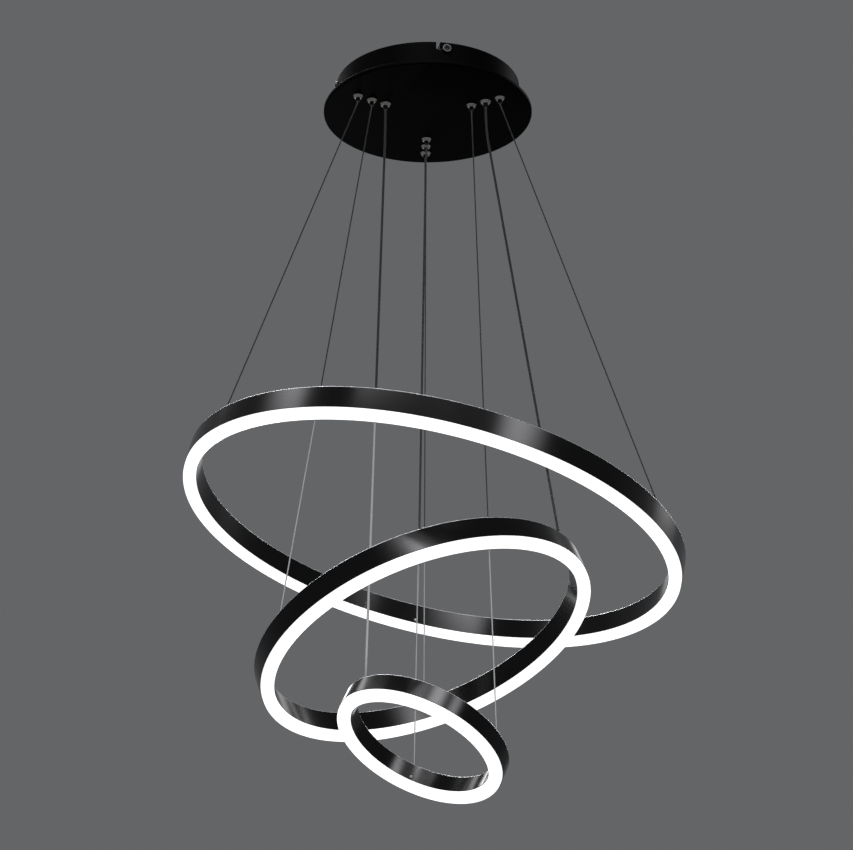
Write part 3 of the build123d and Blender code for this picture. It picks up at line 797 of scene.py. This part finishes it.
class Row(Enum):
    """The three rows of grips, and of the hanging points below them, by azimuth."""

    FAR = 90.0
    LEFT = 210.0
    RIGHT = 330.0

    @property
    def word(self) -> str:
        """The row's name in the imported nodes."""
        return self.name.lower()


@dataclass(frozen=True)
class LineSizes:
    """Sizes of the wires, the cables and the grips that they hang from."""

    wire_radius: float = 0.75
    cable_radius: float = 1.5
    plate_underside: float = -39.0
    collar_depth: float = 4.2
    plunger_drop: float = 4.2
    wire_mouth_gap: float = 0.5
    sleeve_depth: float = 4.6
    cable_drop: float = 30.0
    ball_radius: float = 2.5
    seat_gap: float = 0.3

    @property
    def wire_start(self) -> float:
        """Height at which a wire's free stretch starts."""
        return self.plate_underside - self.collar_depth - self.plunger_drop - self.wire_mouth_gap

    @property
    def cable_start(self) -> float:
        """Height at which a cable comes out of its collar, inside its sleeve."""
        return self.plate_underside - self.collar_depth


@dataclass(frozen=True)
class RingSizes:
    """One ring: its sizes, its place, and which of its lines is the power cable."""

    name: str
    radius: float
    height: float
    centre: tuple[float, float, float]
    lean: float
    lean_azimuth: float
    twist: float
    grip_radius: float
    wires: tuple[Row, Row]
    cable: Row
    seam: float
    segments: int
    width: float = 16.0
    wall: float = 1.4
    web: float = 1.6
    upper_chamber: float = 11.4
    anchor_depth: float = 4.0
    seam_gap: float = 0.3

    @property
    def middle(self) -> float:
        """Radius of the middle of the section."""
        return self.radius - self.width / 2

    @property
    def web_top(self) -> float:
        """Height of the web's upper face."""
        return self.height - self.upper_chamber

    def plane(self) -> Pose:
        """The ring's place: level axes leaned over, then twisted about the ring's own axis.

        Returns:
            The place of the ring's lower edge, its Z along the ring's axis.
        """
        azimuth = math.radians(self.lean_azimuth)
        hinge = np.array([-math.sin(azimuth), math.cos(azimuth), 0.0])
        normal = turned_vector(np.array([0.0, 0.0, 1.0]), hinge, self.lean)
        level = turned_vector(np.array([1.0, 0.0, 0.0]), hinge, self.lean)
        x = turned_vector(level, normal, self.twist)
        return Pose(np.array(self.centre), x, np.cross(normal, x), normal)

    def spot(self, azimuth: float, height: float, radius: float | None = None) -> Pose:
        """A place on the ring, its X outward and its Z along the ring's axis.

        Args:
            azimuth: Degrees round the ring, from its own X.
            height: Along the ring's axis, from its lower edge.
            radius: From the axis, or none for the middle of the section.

        Returns:
            The place.
        """
        base = self.plane()
        outward = turned_vector(base.x, base.z, azimuth)
        reach = self.middle if radius is None else radius
        origin = base.origin + outward * reach + base.z * height
        return Pose(origin, outward, np.cross(base.z, outward), base.z)

    def line_end(self, row: Row) -> Pose:
        """Where a line's lower end is held."""
        return self.spot(row.value, self.height - self.anchor_depth)

    def grip(self, row: Row, height: float) -> np.ndarray:
        """A point on the axis of one of the ring's grips."""
        angle = math.radians(row.value)
        return np.array([self.grip_radius * math.cos(angle), self.grip_radius * math.sin(angle), height])


LARGE = RingSizes(
    name="large",
    radius=300.0,
    height=25.0,
    centre=(2.0, 14.0, -587.5),
    lean=15.9,
    lean_azimuth=34.3,
    twist=1.2,
    grip_radius=101.8,
    wires=(Row.RIGHT, Row.LEFT),
    cable=Row.FAR,
    seam=104.0,
    segments=480,
)
MIDDLE = RingSizes(
    name="middle",
    radius=200.0,
    height=25.0,
    centre=(0.0, -2.4, -716.7),
    lean=26.3,
    lean_azimuth=135.7,
    twist=0.9,
    grip_radius=82.0,
    wires=(Row.LEFT, Row.FAR),
    cable=Row.RIGHT,
    seam=350.0,
    segments=360,
)
SMALL = RingSizes(
    name="small",
    radius=100.0,
    height=20.0,
    centre=(-10.0, -20.4, -837.6),
    lean=31.6,
    lean_azimuth=41.3,
    twist=2.5,
    grip_radius=62.2,
    wires=(Row.RIGHT, Row.FAR),
    cable=Row.LEFT,
    seam=238.0,
    segments=256,
)
RINGS = (LARGE, MIDDLE, SMALL)


@dataclass
class HangingLines:
    """The two steel ropes and the power cable of one ring, each taut from its grip to the ring."""

    ring: RingSizes
    sizes: LineSizes = field(default_factory=LineSizes)
    rope_sides: int = 12
    cable_sides: int = 16

    def smooth_line(self, route: list[np.ndarray]) -> np.ndarray:
        """Reads the points of the smooth curve that has the route's points as its control points.

        Args:
            route: The route's points, in millimetres.

        Returns:
            Points along the curve, in millimetres.
        """
        curve = bpy.data.curves.new("route", "CURVE")
        curve.dimensions = "3D"
        curve.resolution_u = 24
        spline = curve.splines.new("NURBS")
        spline.points.add(len(route) - 1)
        weighted = np.concatenate([metres(np.array(route)), np.ones((len(route), 1))], 1)
        spline.points.foreach_set("co", weighted.astype(np.float32).ravel())
        spline.order_u = min(3, len(route))
        spline.use_endpoint_u = True
        carrier = bpy.data.objects.new("route", curve)
        bpy.context.scene.collection.objects.link(carrier)
        bpy.context.view_layer.update()
        read = bpy.data.meshes.new_from_object(carrier)
        line = np.array([v.co for v in read.vertices], float) * 1000.0
        bpy.data.objects.remove(carrier)
        bpy.data.curves.remove(curve)
        bpy.data.meshes.remove(read)
        return line

    def follow(
        self, rope: bpy.types.Object, line: np.ndarray, body: str, from_length: float, sides: int
    ) -> None:
        """Makes a line's far end follow another body while its near end stays with the canopy.

        Each point moves by its share of the far end's own move, so that a straight line stays straight.
        The share is its distance along the line past from_length, over the length that is left there, and
        0 before that. The mark that the line hangs on goes where the far end goes, and turns only with the
        canopy.

        Args:
            rope: The line's piece.
            line: Its centreline.
            body: The body that the far end follows.
            from_length: Length at the near end that stays with the canopy.
            sides: Points round the tube.
        """
        along = travelled(line, False)
        share = np.clip((along - from_length) / (along[-1] - from_length), 0, 1)
        group = rope.vertex_groups.new(name="far_end")
        for number, weight in enumerate(share):
            group.add(list(range(number * sides, (number + 1) * sides)), float(weight), "REPLACE")
        place = Matrix.Translation(metres(line[-1]))
        marks = []
        for carrier in (frame["bodies"][body], frame["bodies"]["canopy"]):
            mark = bpy.data.objects.new(f"{rope.name}_end", None)
            bpy.context.scene.collection.objects.link(mark)
            mark.parent = carrier
            mark.matrix_parent_inverse = carrier.matrix_world.inverted()
            mark.matrix_basis = place
            marks.append(mark)
        marks[1].constraints.new("COPY_LOCATION").target = marks[0]
        hook = rope.modifiers.new("far_end", "HOOK")
        hook.object = marks[1]
        hook.vertex_group = group.name
        hook.falloff_type = "NONE"
        hook.matrix_inverse = place.inverted()

    def build_rope(self, row: Row) -> bpy.types.Object:
        """One steel rope, straight from its plunger's mouth to the ball on its lower end.

        Args:
            row: The row of its grip.

        Returns:
            The rope's piece.
        """
        start = self.ring.grip(row, self.sizes.wire_start)
        ball = self.ring.line_end(row).origin
        along = (ball - start) / np.linalg.norm(ball - start)
        end = ball - along * (self.sizes.ball_radius + self.sizes.seat_gap)
        line = self.smooth_line([start, end])
        name = f"{self.ring.name}_{row.word}"
        mesh = tube_mesh(f"{name}_rope", line, self.sizes.wire_radius, self.rope_sides)
        mesh.polygons.foreach_set("use_smooth", [True] * len(mesh.polygons))
        rope = piece(f"{name}_rope", mesh, [STEEL_ROPE], "canopy", [f"{name}_wire"])
        self.follow(rope, line, f"{name}_wire_end", 0.0, self.rope_sides)
        return rope

    def build_cable(self) -> bpy.types.Object:
        """The power cable: straight down out of its sleeve for a little, then taut to its gland.

        Returns:
            The cable's piece.
        """
        row = self.ring.cable
        start = self.ring.grip(row, self.sizes.cable_start)
        drop = self.sizes.sleeve_depth + self.sizes.cable_drop
        bend = start - np.array([0.0, 0.0, drop])
        mouth = self.ring.line_end(row)
        toward = (bend - mouth.origin) / np.linalg.norm(bend - mouth.origin)
        upright_share = float(toward @ mouth.z)
        rise = self.sizes.seat_gap + self.sizes.cable_radius * math.sqrt(1 - upright_share**2)
        end = mouth.origin + toward * rise / upright_share
        beyond = bend - toward * drop
        line = self.smooth_line([start, bend, beyond, end])
        name = f"{self.ring.name}_power"
        mesh = tube_mesh(f"{name}_cord", line, self.sizes.cable_radius, self.cable_sides)
        mesh.polygons.foreach_set("use_smooth", [True] * len(mesh.polygons))
        cable = piece(f"{name}_cord", mesh, [PVC_JACKET], "canopy", [f"{name}_cable"])
        self.follow(cable, line, f"{self.ring.name}_ring", drop, self.cable_sides)
        return cable

    def build(self) -> None:
        """Builds all three lines."""
        for row in self.ring.wires:
            self.build_rope(row)
        self.build_cable()


@dataclass
class LitRing:
    """One ring: the bent channel, its lit diffuser, and what fastens its lines."""

    ring: RingSizes
    edge_round: float = 0.5
    diffuser_inset: float = 0.6
    diffuser_side: float = 2.6
    diffuser_thickness: float = 2.2
    leg: float = 5.0
    leg_fit: float = 0.15
    leg_thickness: float = 1.5
    screw_height: float = 4.0
    screw_head_radius: float = 1.7
    screw_head_height: float = 1.0
    screw_dish_share: float = 0.28  # of the head's radius
    mouth_radius: float = 2.45
    mouth_height: float = 1.36  # above the ball's centre
    mouth_outer_radius: float = 3.5
    mouth_rim_height: float = 2.42
    bore_reach: float = 1.0  # nothing of a mouth lies nearer to the ball's axis

    @property
    def body(self) -> str:
        """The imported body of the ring."""
        return f"{self.ring.name}_ring"

    def channel_outline(self) -> np.ndarray:
        """The extrusion's H section, with rounded corners, about its own middle.

        Returns:
            Closed outline, distance from the middle and height.
        """
        half, wall = self.ring.width / 2, self.ring.wall
        inner, top = half - wall, self.ring.height
        web_top, web_low = self.ring.web_top, self.ring.web_top - self.ring.web
        soft, fine = self.edge_round, 0.25
        return rounded_outline(
            [
                (half, 0, fine),
                (half, top, soft),
                (inner, top, soft),
                (inner, web_top, fine),
                (-inner, web_top, fine),
                (-inner, top, soft),
                (-half, top, soft),
                (-half, 0, fine),
                (-inner, 0, fine),
                (-inner, web_low, fine),
                (inner, web_low, fine),
                (inner, 0, fine),
            ],
            steps=3,
        )

    def build_channel(self) -> bpy.types.Object:
        """The bent extrusion, open at its seam, with its cut upper edges drawn bright as a painted highlight.

        Returns:
            The channel's piece.
        """
        outline = self.channel_outline() + np.array([self.ring.middle, 0.0])
        gap = math.degrees(self.ring.seam_gap / self.ring.middle) / 2
        arc = (self.ring.seam + gap, self.ring.seam + 360 - gap)
        plane = self.ring.plane()
        mesh = finished(turned_mesh(f"{self.body}_channel", outline, plane, self.ring.segments, arc), 60)
        made = piece(
            f"{self.body}_channel",
            mesh,
            [ANODISED_BLACK, CUT_EDGE_HIGHLIGHT],
            self.body,
            [f"{self.ring.name}_channel"],
        )
        centres = np.zeros(len(mesh.polygons) * 3)
        mesh.polygons.foreach_get("center", centres)
        heights = (centres.reshape(-1, 3) * 1000 - plane.origin) @ plane.z
        # Faces along the upper edge get the cut edge's finish, a painted highlight line.
        cut = (heights > self.ring.height - self.edge_round * 0.95).astype(np.int32)
        mesh.polygons.foreach_set("material_index", cut)
        return made

    def diffuser_outline(self) -> np.ndarray:
        """The diffuser's section: a half-round trough with two legs inside the channel's walls.

        The outer dome is the lower half of a circle of the dome's radius below two short straight sides,
        and the inner one is the same less the wall's thickness.

        Returns:
            Closed outline, distance from the middle and height.
        """
        dome = self.ring.width / 2 - self.diffuser_inset
        outer_leg = self.ring.width / 2 - self.ring.wall - self.leg_fit
        inside = min(outer_leg - self.leg_thickness, dome - self.diffuser_thickness)
        down, up = np.radians(np.linspace(0, -180, 25)), np.radians(np.linspace(-180, 0, 25))
        outer = np.stack([dome * np.cos(down), dome * np.sin(down) - self.diffuser_side], 1)
        inner = np.stack([inside * np.cos(up), inside * np.sin(up) - self.diffuser_side], 1)
        left = [(-dome, 0.0), (-outer_leg, 0.0), (-outer_leg, self.leg), (-inside, self.leg)]
        right = [(inside, self.leg), (outer_leg, self.leg), (outer_leg, 0.0), (dome, 0.0)]
        return np.concatenate([outer, np.array(left), inner, np.array(right)])

    def build_diffuser(self) -> bpy.types.Object:
        """The lit opal diffuser.

        Returns:
            The diffuser's piece.
        """
        outline = self.diffuser_outline() + np.array([self.ring.middle, 0.0])
        turned = turned_mesh(f"{self.body}_diffuser", outline, self.ring.plane(), self.ring.segments)
        mesh = finished(turned, 50)
        node = f"{self.ring.name}_diffuser"
        return piece(f"{self.body}_diffuser", mesh, [OPAL_LIT], self.body, [node])

    def build_wall_screws(self) -> bpy.types.Object:
        """Three small domed screws on the inner wall, each with a cross recess drawn as a dished centre.

        A head is turned from an outline whose height falls as the square of the radius.

        Returns:
            The piece with the three screws.
        """
        wide, tall, dish_share = self.screw_head_radius, self.screw_head_height, self.screw_dish_share
        steps = np.linspace(1, dish_share, 9)
        dome = np.stack([wide * steps, tall * (1 - 0.75 * steps**2)], 1)
        dish = [(dish_share * wide, 0.45 * tall), (0, 0.35 * tall)]
        outline = np.concatenate([[(0.0, 0.0), (wide, 0.0)], dome, dish])
        heads = []
        for row in Row:
            seat = math.sqrt((self.ring.radius - self.ring.width) ** 2 - wide**2)
            wall = self.ring.spot(row.value, self.screw_height, seat)
            inward = Pose(wall.origin, wall.z, np.cross(-wall.x, wall.z), -wall.x)
            heads.append(turned_mesh("head", outline, inward, 24))
        mesh = finished(joined(f"{self.body}_wall_screws", heads), 40)
        node = f"{self.ring.name}_wall_screws"
        return piece(f"{self.body}_screws", mesh, [NICKEL_BRIGHT], self.body, [node])

    def build_anchors(self) -> bpy.types.Object:
        """The posts that hold the wires' balls, with their mouths cut lower and wider for a steep wire.

        A point within a mouth's reach keeps its direction from the ball's axis. It goes out to the mouth's
        radius and up to its height, or to the outer rim's where it lies above the middle between the two.

        Returns:
            The piece with the posts.
        """
        node = f"{self.ring.name}_wire_anchors"
        mesh = cad_copy(node)
        points = np.zeros(len(mesh.vertices) * 3)
        mesh.vertices.foreach_get("co", points)
        points = points.reshape(-1, 3) * 1000.0
        for row in self.ring.wires:
            ball = self.ring.line_end(row)
            away = points - ball.origin
            rise = away @ ball.z
            side = away - rise[:, None] * ball.z
            reach = np.linalg.norm(side, axis=1)
            mouth = (reach > self.bore_reach) & (reach < self.mouth_outer_radius) & (rise > self.mouth_height)
            upper = mouth & (rise > (self.mouth_height + self.mouth_rim_height) / 2)
            wider = np.where(upper, self.mouth_outer_radius, self.mouth_radius)
            higher = np.where(upper, self.mouth_rim_height, self.mouth_height)
            outward = side * (wider / np.maximum(reach, 1e-6))[:, None]
            opened = ball.origin + outward + higher[:, None] * ball.z
            points = np.where(mouth[:, None], opened, points)
        mesh.vertices.foreach_set("co", metres(points).astype(np.float32).ravel())
        mesh.update()
        return piece(f"{node}_dressed", mesh, [NICKEL_PLATE], self.body, [node])

    def build_carried(self) -> None:
        """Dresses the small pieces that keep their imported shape."""
        finishes = {
            "cable_gland": (POLYAMIDE_BLACK, "dark_nylon"),
            "splice_plate": (ZINC_PLATE, "zinc_steel"),
            "splice_screws": (NICKEL_PLATE, "nickel"),
            "led_strip": (SOLDER_MASK, "led_board"),
        }
        for part, (finish, slot) in finishes.items():
            node = f"{self.ring.name}_{part}"
            piece(f"{node}_dressed", cad_copy(node), [finish], self.body, [node])
        for row in self.ring.wires:
            node = f"{self.ring.name}_{row.word}_wire_ball"
            body = f"{self.ring.name}_{row.word}_wire_end"
            piece(f"{node}_dressed", cad_copy(node), [NICKEL_PLATE], body, [node])

    def build(self) -> None:
        """Builds the whole ring."""
        self.build_channel()
        self.build_diffuser()
        self.build_wall_screws()
        self.build_anchors()
        self.build_carried()


@dataclass
class Canopy:
    """The round canopy: its grips, its lock screws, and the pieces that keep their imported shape."""

    sizes: LineSizes = field(default_factory=LineSizes)
    collar_radius: float = 6.5
    collar_rim: float = 1.1
    nose_radius: float = 4.0
    nose_flare: float = 1.1
    nose_rise: float = 0.9
    barrel_radius: float = 4.4
    barrel_height: float = 13.0
    cord_extra: float = 0.6
    lock_count: int = 4
    lock_azimuth: float = -80.2
    lock_drop: float = 8.9
    lock_head_seat: float = 116.8
    lock_head_height: float = 2.4
    lock_dish_radius: float = 3.6
    lock_recess_radius: float = 2.2
    plunger_radius: float = 2.7
    slide_fit: float = 0.25
    sleeve_fit: float = 0.1

    def grip_outline(self, extra: float, bore: float) -> np.ndarray:
        """A grip's turned section: a collar with a rounded shoulder and nose, and a barrel above it.

        Args:
            extra: What a cord grip has on a wire grip's radii.
            bore: Radius of the hole along it.

        Returns:
            Closed outline, radius and height from the plate's underside.
        """
        nose = self.nose_radius + extra
        collar = self.collar_radius + extra
        barrel = self.barrel_radius + extra
        depth = self.sizes.collar_depth
        return rounded_outline(
            [
                (bore, -depth, 0.0),
                (nose, -depth, 0.2),
                (nose + self.nose_flare, -depth + self.nose_rise, 0.4),
                (collar, -self.collar_rim, 0.35),
                (collar, 0.0, 0.0),
                (barrel, 0.0, 0.0),
                (barrel, self.barrel_height, 0.3),
                (bore, self.barrel_height, 0.0),
            ],
            steps=3,
        )

    def build_grips(self) -> None:
        """The six wire grips as one piece and the three cord grips as another."""
        wire_bore = self.plunger_radius + self.slide_fit
        cord_bore = self.plunger_radius + self.cord_extra + self.sleeve_fit
        wire_grips, cord_grips = [], []
        for ring in RINGS:
            for row in ring.wires:
                place = upright(ring.grip(row, self.sizes.plate_underside))
                wire_grips.append(turned_mesh("grip", self.grip_outline(0.0, wire_bore), place, 48))
            place = upright(ring.grip(ring.cable, self.sizes.plate_underside))
            cord_grips.append(turned_mesh("grip", self.grip_outline(self.cord_extra, cord_bore), place, 48))
        for kind, grips in (("wire_grip", wire_grips), ("cord_grip", cord_grips)):
            mesh = finished(joined(f"{kind}_set", grips), 24)
            piece(f"{kind}_set", mesh, [NICKEL_PLATE], "canopy", [f"{kind}s"])

    def build_lock_screws(self) -> bpy.types.Object:
        """The four lock screws: rims and recesses drawn paler as a painted highlight, and a dark dish between
        them.

        A face is on a rim or in a recess by the distance of its middle from its screw's axis.

        Returns:
            The piece with the four screws.
        """
        node = "lock_screws"
        mesh = cad_copy(node)
        plates = [PLATED_BLACK, PLATED_HIGHLIT_RIM]
        made = piece(f"{node}_dressed", mesh, plates, "bracket", [node])
        middles = np.zeros(len(mesh.polygons) * 3)
        mesh.polygons.foreach_get("center", middles)
        middles = middles.reshape(-1, 3) * 1000
        numbers = np.arange(self.lock_count)
        angles = np.radians(self.lock_azimuth + 360.0 / self.lock_count * numbers)
        outward = np.stack([np.cos(angles), np.sin(angles), 0.0 * angles], 1)
        reach = middles @ outward.T
        screw = reach.argmax(1)
        along = reach.max(1)
        across = middles - along[:, None] * outward[screw] + np.array([0.0, 0.0, self.lock_drop])
        distance = np.linalg.norm(across, axis=1)
        face = along > self.lock_head_seat + self.lock_head_height / 2
        # Rims and recesses get the paler plate, a painted highlight.
        highlit_faces = face & ((distance > self.lock_dish_radius) | (distance < self.lock_recess_radius))
        mesh.polygons.foreach_set("material_index", highlit_faces.astype(np.int32))
        return made

    def build_carried(self) -> None:
        """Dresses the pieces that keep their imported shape."""
        finishes = {
            # The bracket's dark finish is painted shade for the canopy's inside.
            "ceiling_bracket": ("bracket", BRACKET_PAINTED_SHADE, "bracket_steel"),
            "canopy_plate": ("canopy", POWDER_BLACK, "black_aluminium"),
            "canopy_skirt": ("canopy", POWDER_BLACK, "black_steel"),
            "skirt_nuts": ("canopy", ZINC_PLATE, "zinc_steel"),
            "driver_screws": ("canopy", ZINC_PLATE, "zinc_steel"),
            "terminal_block": ("canopy", POLYAMIDE_CREAM, "terminal_plastic"),
            "cord_grip_sleeves": ("canopy", POLYAMIDE_BLACK, "dark_nylon"),
            "grip_nuts": ("canopy", NICKEL_PLATE, "nickel"),
        }
        for ring in RINGS:
            finishes[f"{ring.name}_ring_driver"] = ("canopy", ABS_WHITE, "driver_case")
        for node, (body, finish, slot) in finishes.items():
            piece(f"{node}_dressed", cad_copy(node), [finish], body, [node])
        for ring in RINGS:
            for row in ring.wires:
                node = f"{ring.name}_{row.word}_plunger"
                body = f"{ring.name}_{row.word}_release"
                piece(f"{node}_dressed", cad_copy(node), [NICKEL_DARK], body, [node])

    def build(self) -> None:
        """Builds the whole canopy."""
        self.build_grips()
        self.build_lock_screws()
        self.build_carried()


@dataclass(frozen=True)
class Panel:
    """A soft light panel that stands round the object, by the angles at which the object sees it."""

    name: str
    azimuth: float
    elevation: float
    width: float
    height: float
    radiance: float
    distance: float = 12000.0

    def build(self, aim: np.ndarray) -> bpy.types.Object:
        """Makes the lamp.

        A panel that the object sees over an angle a is 2 distance tan(a / 2) long, and a flat lamp's
        power is pi times its radiance times its area.

        Args:
            aim: The point that it faces, in millimetres.

        Returns:
            The lamp's object.
        """
        data = bpy.data.lights.new(self.name, "AREA")
        data.shape = "RECTANGLE"
        wide, tall = (
            float(metres(2 * self.distance * math.tan(math.radians(angle / 2))))
            for angle in (self.width, self.height)
        )
        data.size, data.size_y = wide, tall
        data.energy = math.pi * self.radiance * wide * tall
        self.soften(data)
        lamp = bpy.data.objects.new(self.name, data)
        bpy.context.scene.collection.objects.link(lamp)
        turn, rise = math.radians(self.azimuth), math.radians(self.elevation)
        away = np.array([math.cos(turn) * math.cos(rise), math.sin(turn) * math.cos(rise), math.sin(rise)])
        lamp.location = Vector(metres(aim + away * self.distance))
        lamp.rotation_euler = Vector(-away).to_track_quat("-Z", "Y").to_euler()
        lamp.visible_camera = False
        return lamp

    @staticmethod
    def soften(data: bpy.types.AreaLight) -> None:
        """Fades the panel to nothing at its edges, as cloth over a lamp does.

        The share that is left is 16 u (1 - u) v (1 - v), with u and v from 0 to 1 across the panel.

        Args:
            data: The panel's lamp.
        """
        data.use_nodes = True
        tree = data.node_tree
        tree.nodes.clear()
        place = add_node(tree, "ShaderNodeNewGeometry")
        sides = add_node(tree, "ShaderNodeSeparateXYZ", inputs={0: place.outputs["Parametric"]})
        times = {"operation": "MULTIPLY"}
        fades = []
        for side in (0, 1):
            across = sides.outputs[side]
            rest = add_node(tree, "ShaderNodeMath", {"operation": "SUBTRACT"}, {0: 1.0, 1: across})
            fades.append(add_node(tree, "ShaderNodeMath", times, {0: across, 1: rest.outputs[0]}).outputs[0])
        both = add_node(tree, "ShaderNodeMath", times, {0: fades[0], 1: fades[1]})
        whole = add_node(tree, "ShaderNodeMath", times, {0: both.outputs[0], 1: 16.0})
        light = add_node(tree, "ShaderNodeEmission", inputs={"Strength": whole.outputs[0]})
        add_node(tree, "ShaderNodeOutputLight", inputs={"Surface": light.outputs[0]})


@dataclass
class Studio:
    """The camera, the lamps, the world and the floor."""

    camera_at: tuple[float, float, float] = (-59.9, -2053.1, -1135.1)
    heading: float = 1.625  # from +Y towards +X
    pitch: float = 18.38
    lens: float = 76.26
    floor_at: float = -1600.0
    floor_reach: float = 60000.0
    backdrop: str = "#646567"
    ambient: float = 0.015
    line_beam: float = 50.0  # whole angle of a line lamp's beam
    line_beam_blend: float = 0.03
    line_lamp_size: float = 20.0
    line_lamp_watts: float = 140.0
    aim: tuple[float, float, float] = (0.0, 0.0, -650.0)
    panels: tuple[Panel, ...] = (
        Panel("left_panel", 185, 46, 23, 12, 12.4),
        Panel("front_panel", 254, 45, 32, 7, 15.0, 1390.0),
        Panel("front_top_panel", 262, 64, 24, 20, 9.0, 1200.0),
        Panel("front_right_high_panel", 286, 46, 25, 10, 10.6),
        Panel("front_right_mid_panel", 298, 42, 14, 10, 6.0),
        Panel("front_right_low_panel", 310, 30, 21, 12, 9.5),
        Panel("right_panel", 33, 22, 22, 24, 13.3),
        Panel("back_right_panel", 70, 19, 59, 9, 0.8, 4680.0),
        Panel("back_panel", 107, 11, 16, 17, 6.0, 800.0),
        Panel("back_left_panel", 113, 52, 50, 37, 13.6),
    )

    def build_camera(self) -> None:
        """The camera where the photograph was taken from."""
        data = bpy.data.cameras.new("camera")
        data.lens = self.lens
        data.sensor_width = 36.0
        data.clip_start, data.clip_end = 0.05, 50.0
        camera = bpy.data.objects.new("camera", data)
        bpy.context.scene.collection.objects.link(camera)
        camera.location = Vector(metres(self.camera_at))
        camera.rotation_euler = (math.radians(90 + self.pitch), 0.0, math.radians(-self.heading))
        bpy.context.scene.camera = camera

    def build_world(self) -> None:
        """Grey for what the camera and shiny surfaces see, and a plain soft light for the rest."""
        world = bpy.data.worlds.new("studio")
        bpy.context.scene.world = world
        world.use_nodes = True
        tree = world.node_tree
        tree.nodes.clear()
        seen = rays_that_see(tree)
        grey = add_node(
            tree, "ShaderNodeBackground", inputs={"Color": linear_colour(self.backdrop), "Strength": 1.0}
        )
        soft = add_node(
            tree, "ShaderNodeBackground", inputs={"Color": linear_colour("#ffffff"), "Strength": self.ambient}
        )
        mixed = add_node(
            tree,
            "ShaderNodeMixShader",
            inputs={0: seen, 1: soft.outputs[0], 2: grey.outputs[0]},
        )
        add_node(tree, "ShaderNodeOutputWorld", inputs={"Surface": mixed.outputs[0]})

    def build_line_lamp(self, name: str, heading: float, top: float) -> bpy.types.Object:
        """A spot lamp at the camera's place for the lower stretches of the lines.

        Args:
            name: The lamp's name.
            heading: Degrees from +Y towards +X.
            top: Elevation of the beam's upper edge, in degrees.

        Returns:
            The lamp's object.
        """
        data = bpy.data.lights.new(name, "SPOT")
        data.energy = self.line_lamp_watts
        data.spot_size = math.radians(self.line_beam)
        data.spot_blend = self.line_beam_blend
        data.shadow_soft_size = float(metres(self.line_lamp_size))
        lamp = bpy.data.objects.new(name, data)
        bpy.context.scene.collection.objects.link(lamp)
        lamp.location = Vector(metres(self.camera_at))
        turn, rise = math.radians(90 - heading), math.radians(top - self.line_beam / 2)
        aim = Vector((math.cos(turn) * math.cos(rise), math.sin(turn) * math.cos(rise), math.sin(rise)))
        lamp.rotation_euler = aim.to_track_quat("-Z", "Y").to_euler()
        lamp.visible_camera = False
        return lamp

    def build_lamps(self) -> None:
        """Soft panels draw bands on the rings' walls and light everything but the lines.

        Two lamps of their own light the six lines that the photograph shows bright below the large ring.
        """
        pieces = {made.name: made for made in bpy.context.scene.objects if made.type == "MESH"}
        left = {"middle_left_rope", "small_power_cord"}
        inner = {"middle_far_rope", "small_far_rope", "small_right_rope", "large_power_cord"}
        lines = {name for name in pieces if name.endswith(("_rope", "_cord"))}
        panels = [panel.build(np.array(self.aim)) for panel in self.panels]
        left_lamp = self.build_line_lamp("left_line_lamp", -0.96, 19.1)
        inner_lamp = self.build_line_lamp("inner_line_lamp", 2.53, 14.9)
        for names, lamps in ((set(pieces) - lines, panels), (left, [left_lamp]), (inner, [inner_lamp])):
            lit = bpy.data.collections.new("lit")
            for name in sorted(names):
                lit.objects.link(pieces[name])
            for lamp in lamps:
                lamp.light_linking.receiver_collection = lit

    def build_floor(self) -> None:
        """A wide plain floor below, which isn't part of the object."""
        side = np.array([-self.floor_reach, self.floor_reach])
        points = np.stack(np.meshgrid(side, side, [self.floor_at], indexing="ij"), -1).reshape(2, 2, 3)
        mesh = grid_mesh("floor", points)
        mesh.materials.append(FLOOR_PAINT.build())
        floor = bpy.data.objects.new("floor", mesh)
        bpy.context.scene.collection.objects.link(floor)

    def build(self) -> None:
        """Builds everything but the camera, which comes first."""
        bpy.context.scene.view_settings.view_transform = "Standard"
        self.build_world()
        self.build_floor()
        self.build_lamps()


def corners(box: tuple[Vector, Vector]) -> list[list[float]]:
    """A box's two corners as plain lists."""
    return [[float(c) for c in corner] for corner in box]


def main() -> None:
    """Builds the studio and the chandelier."""
    logging.basicConfig(level=logging.INFO, format="%(name)s: %(message)s")
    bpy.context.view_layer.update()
    studio = Studio()
    studio.build_camera()
    for ring in RINGS:
        HangingLines(ring).build()
    for ring in RINGS:
        LitRing(ring).build()
    Canopy().build()
    studio.build()


if __name__ == "__main__":
    main()
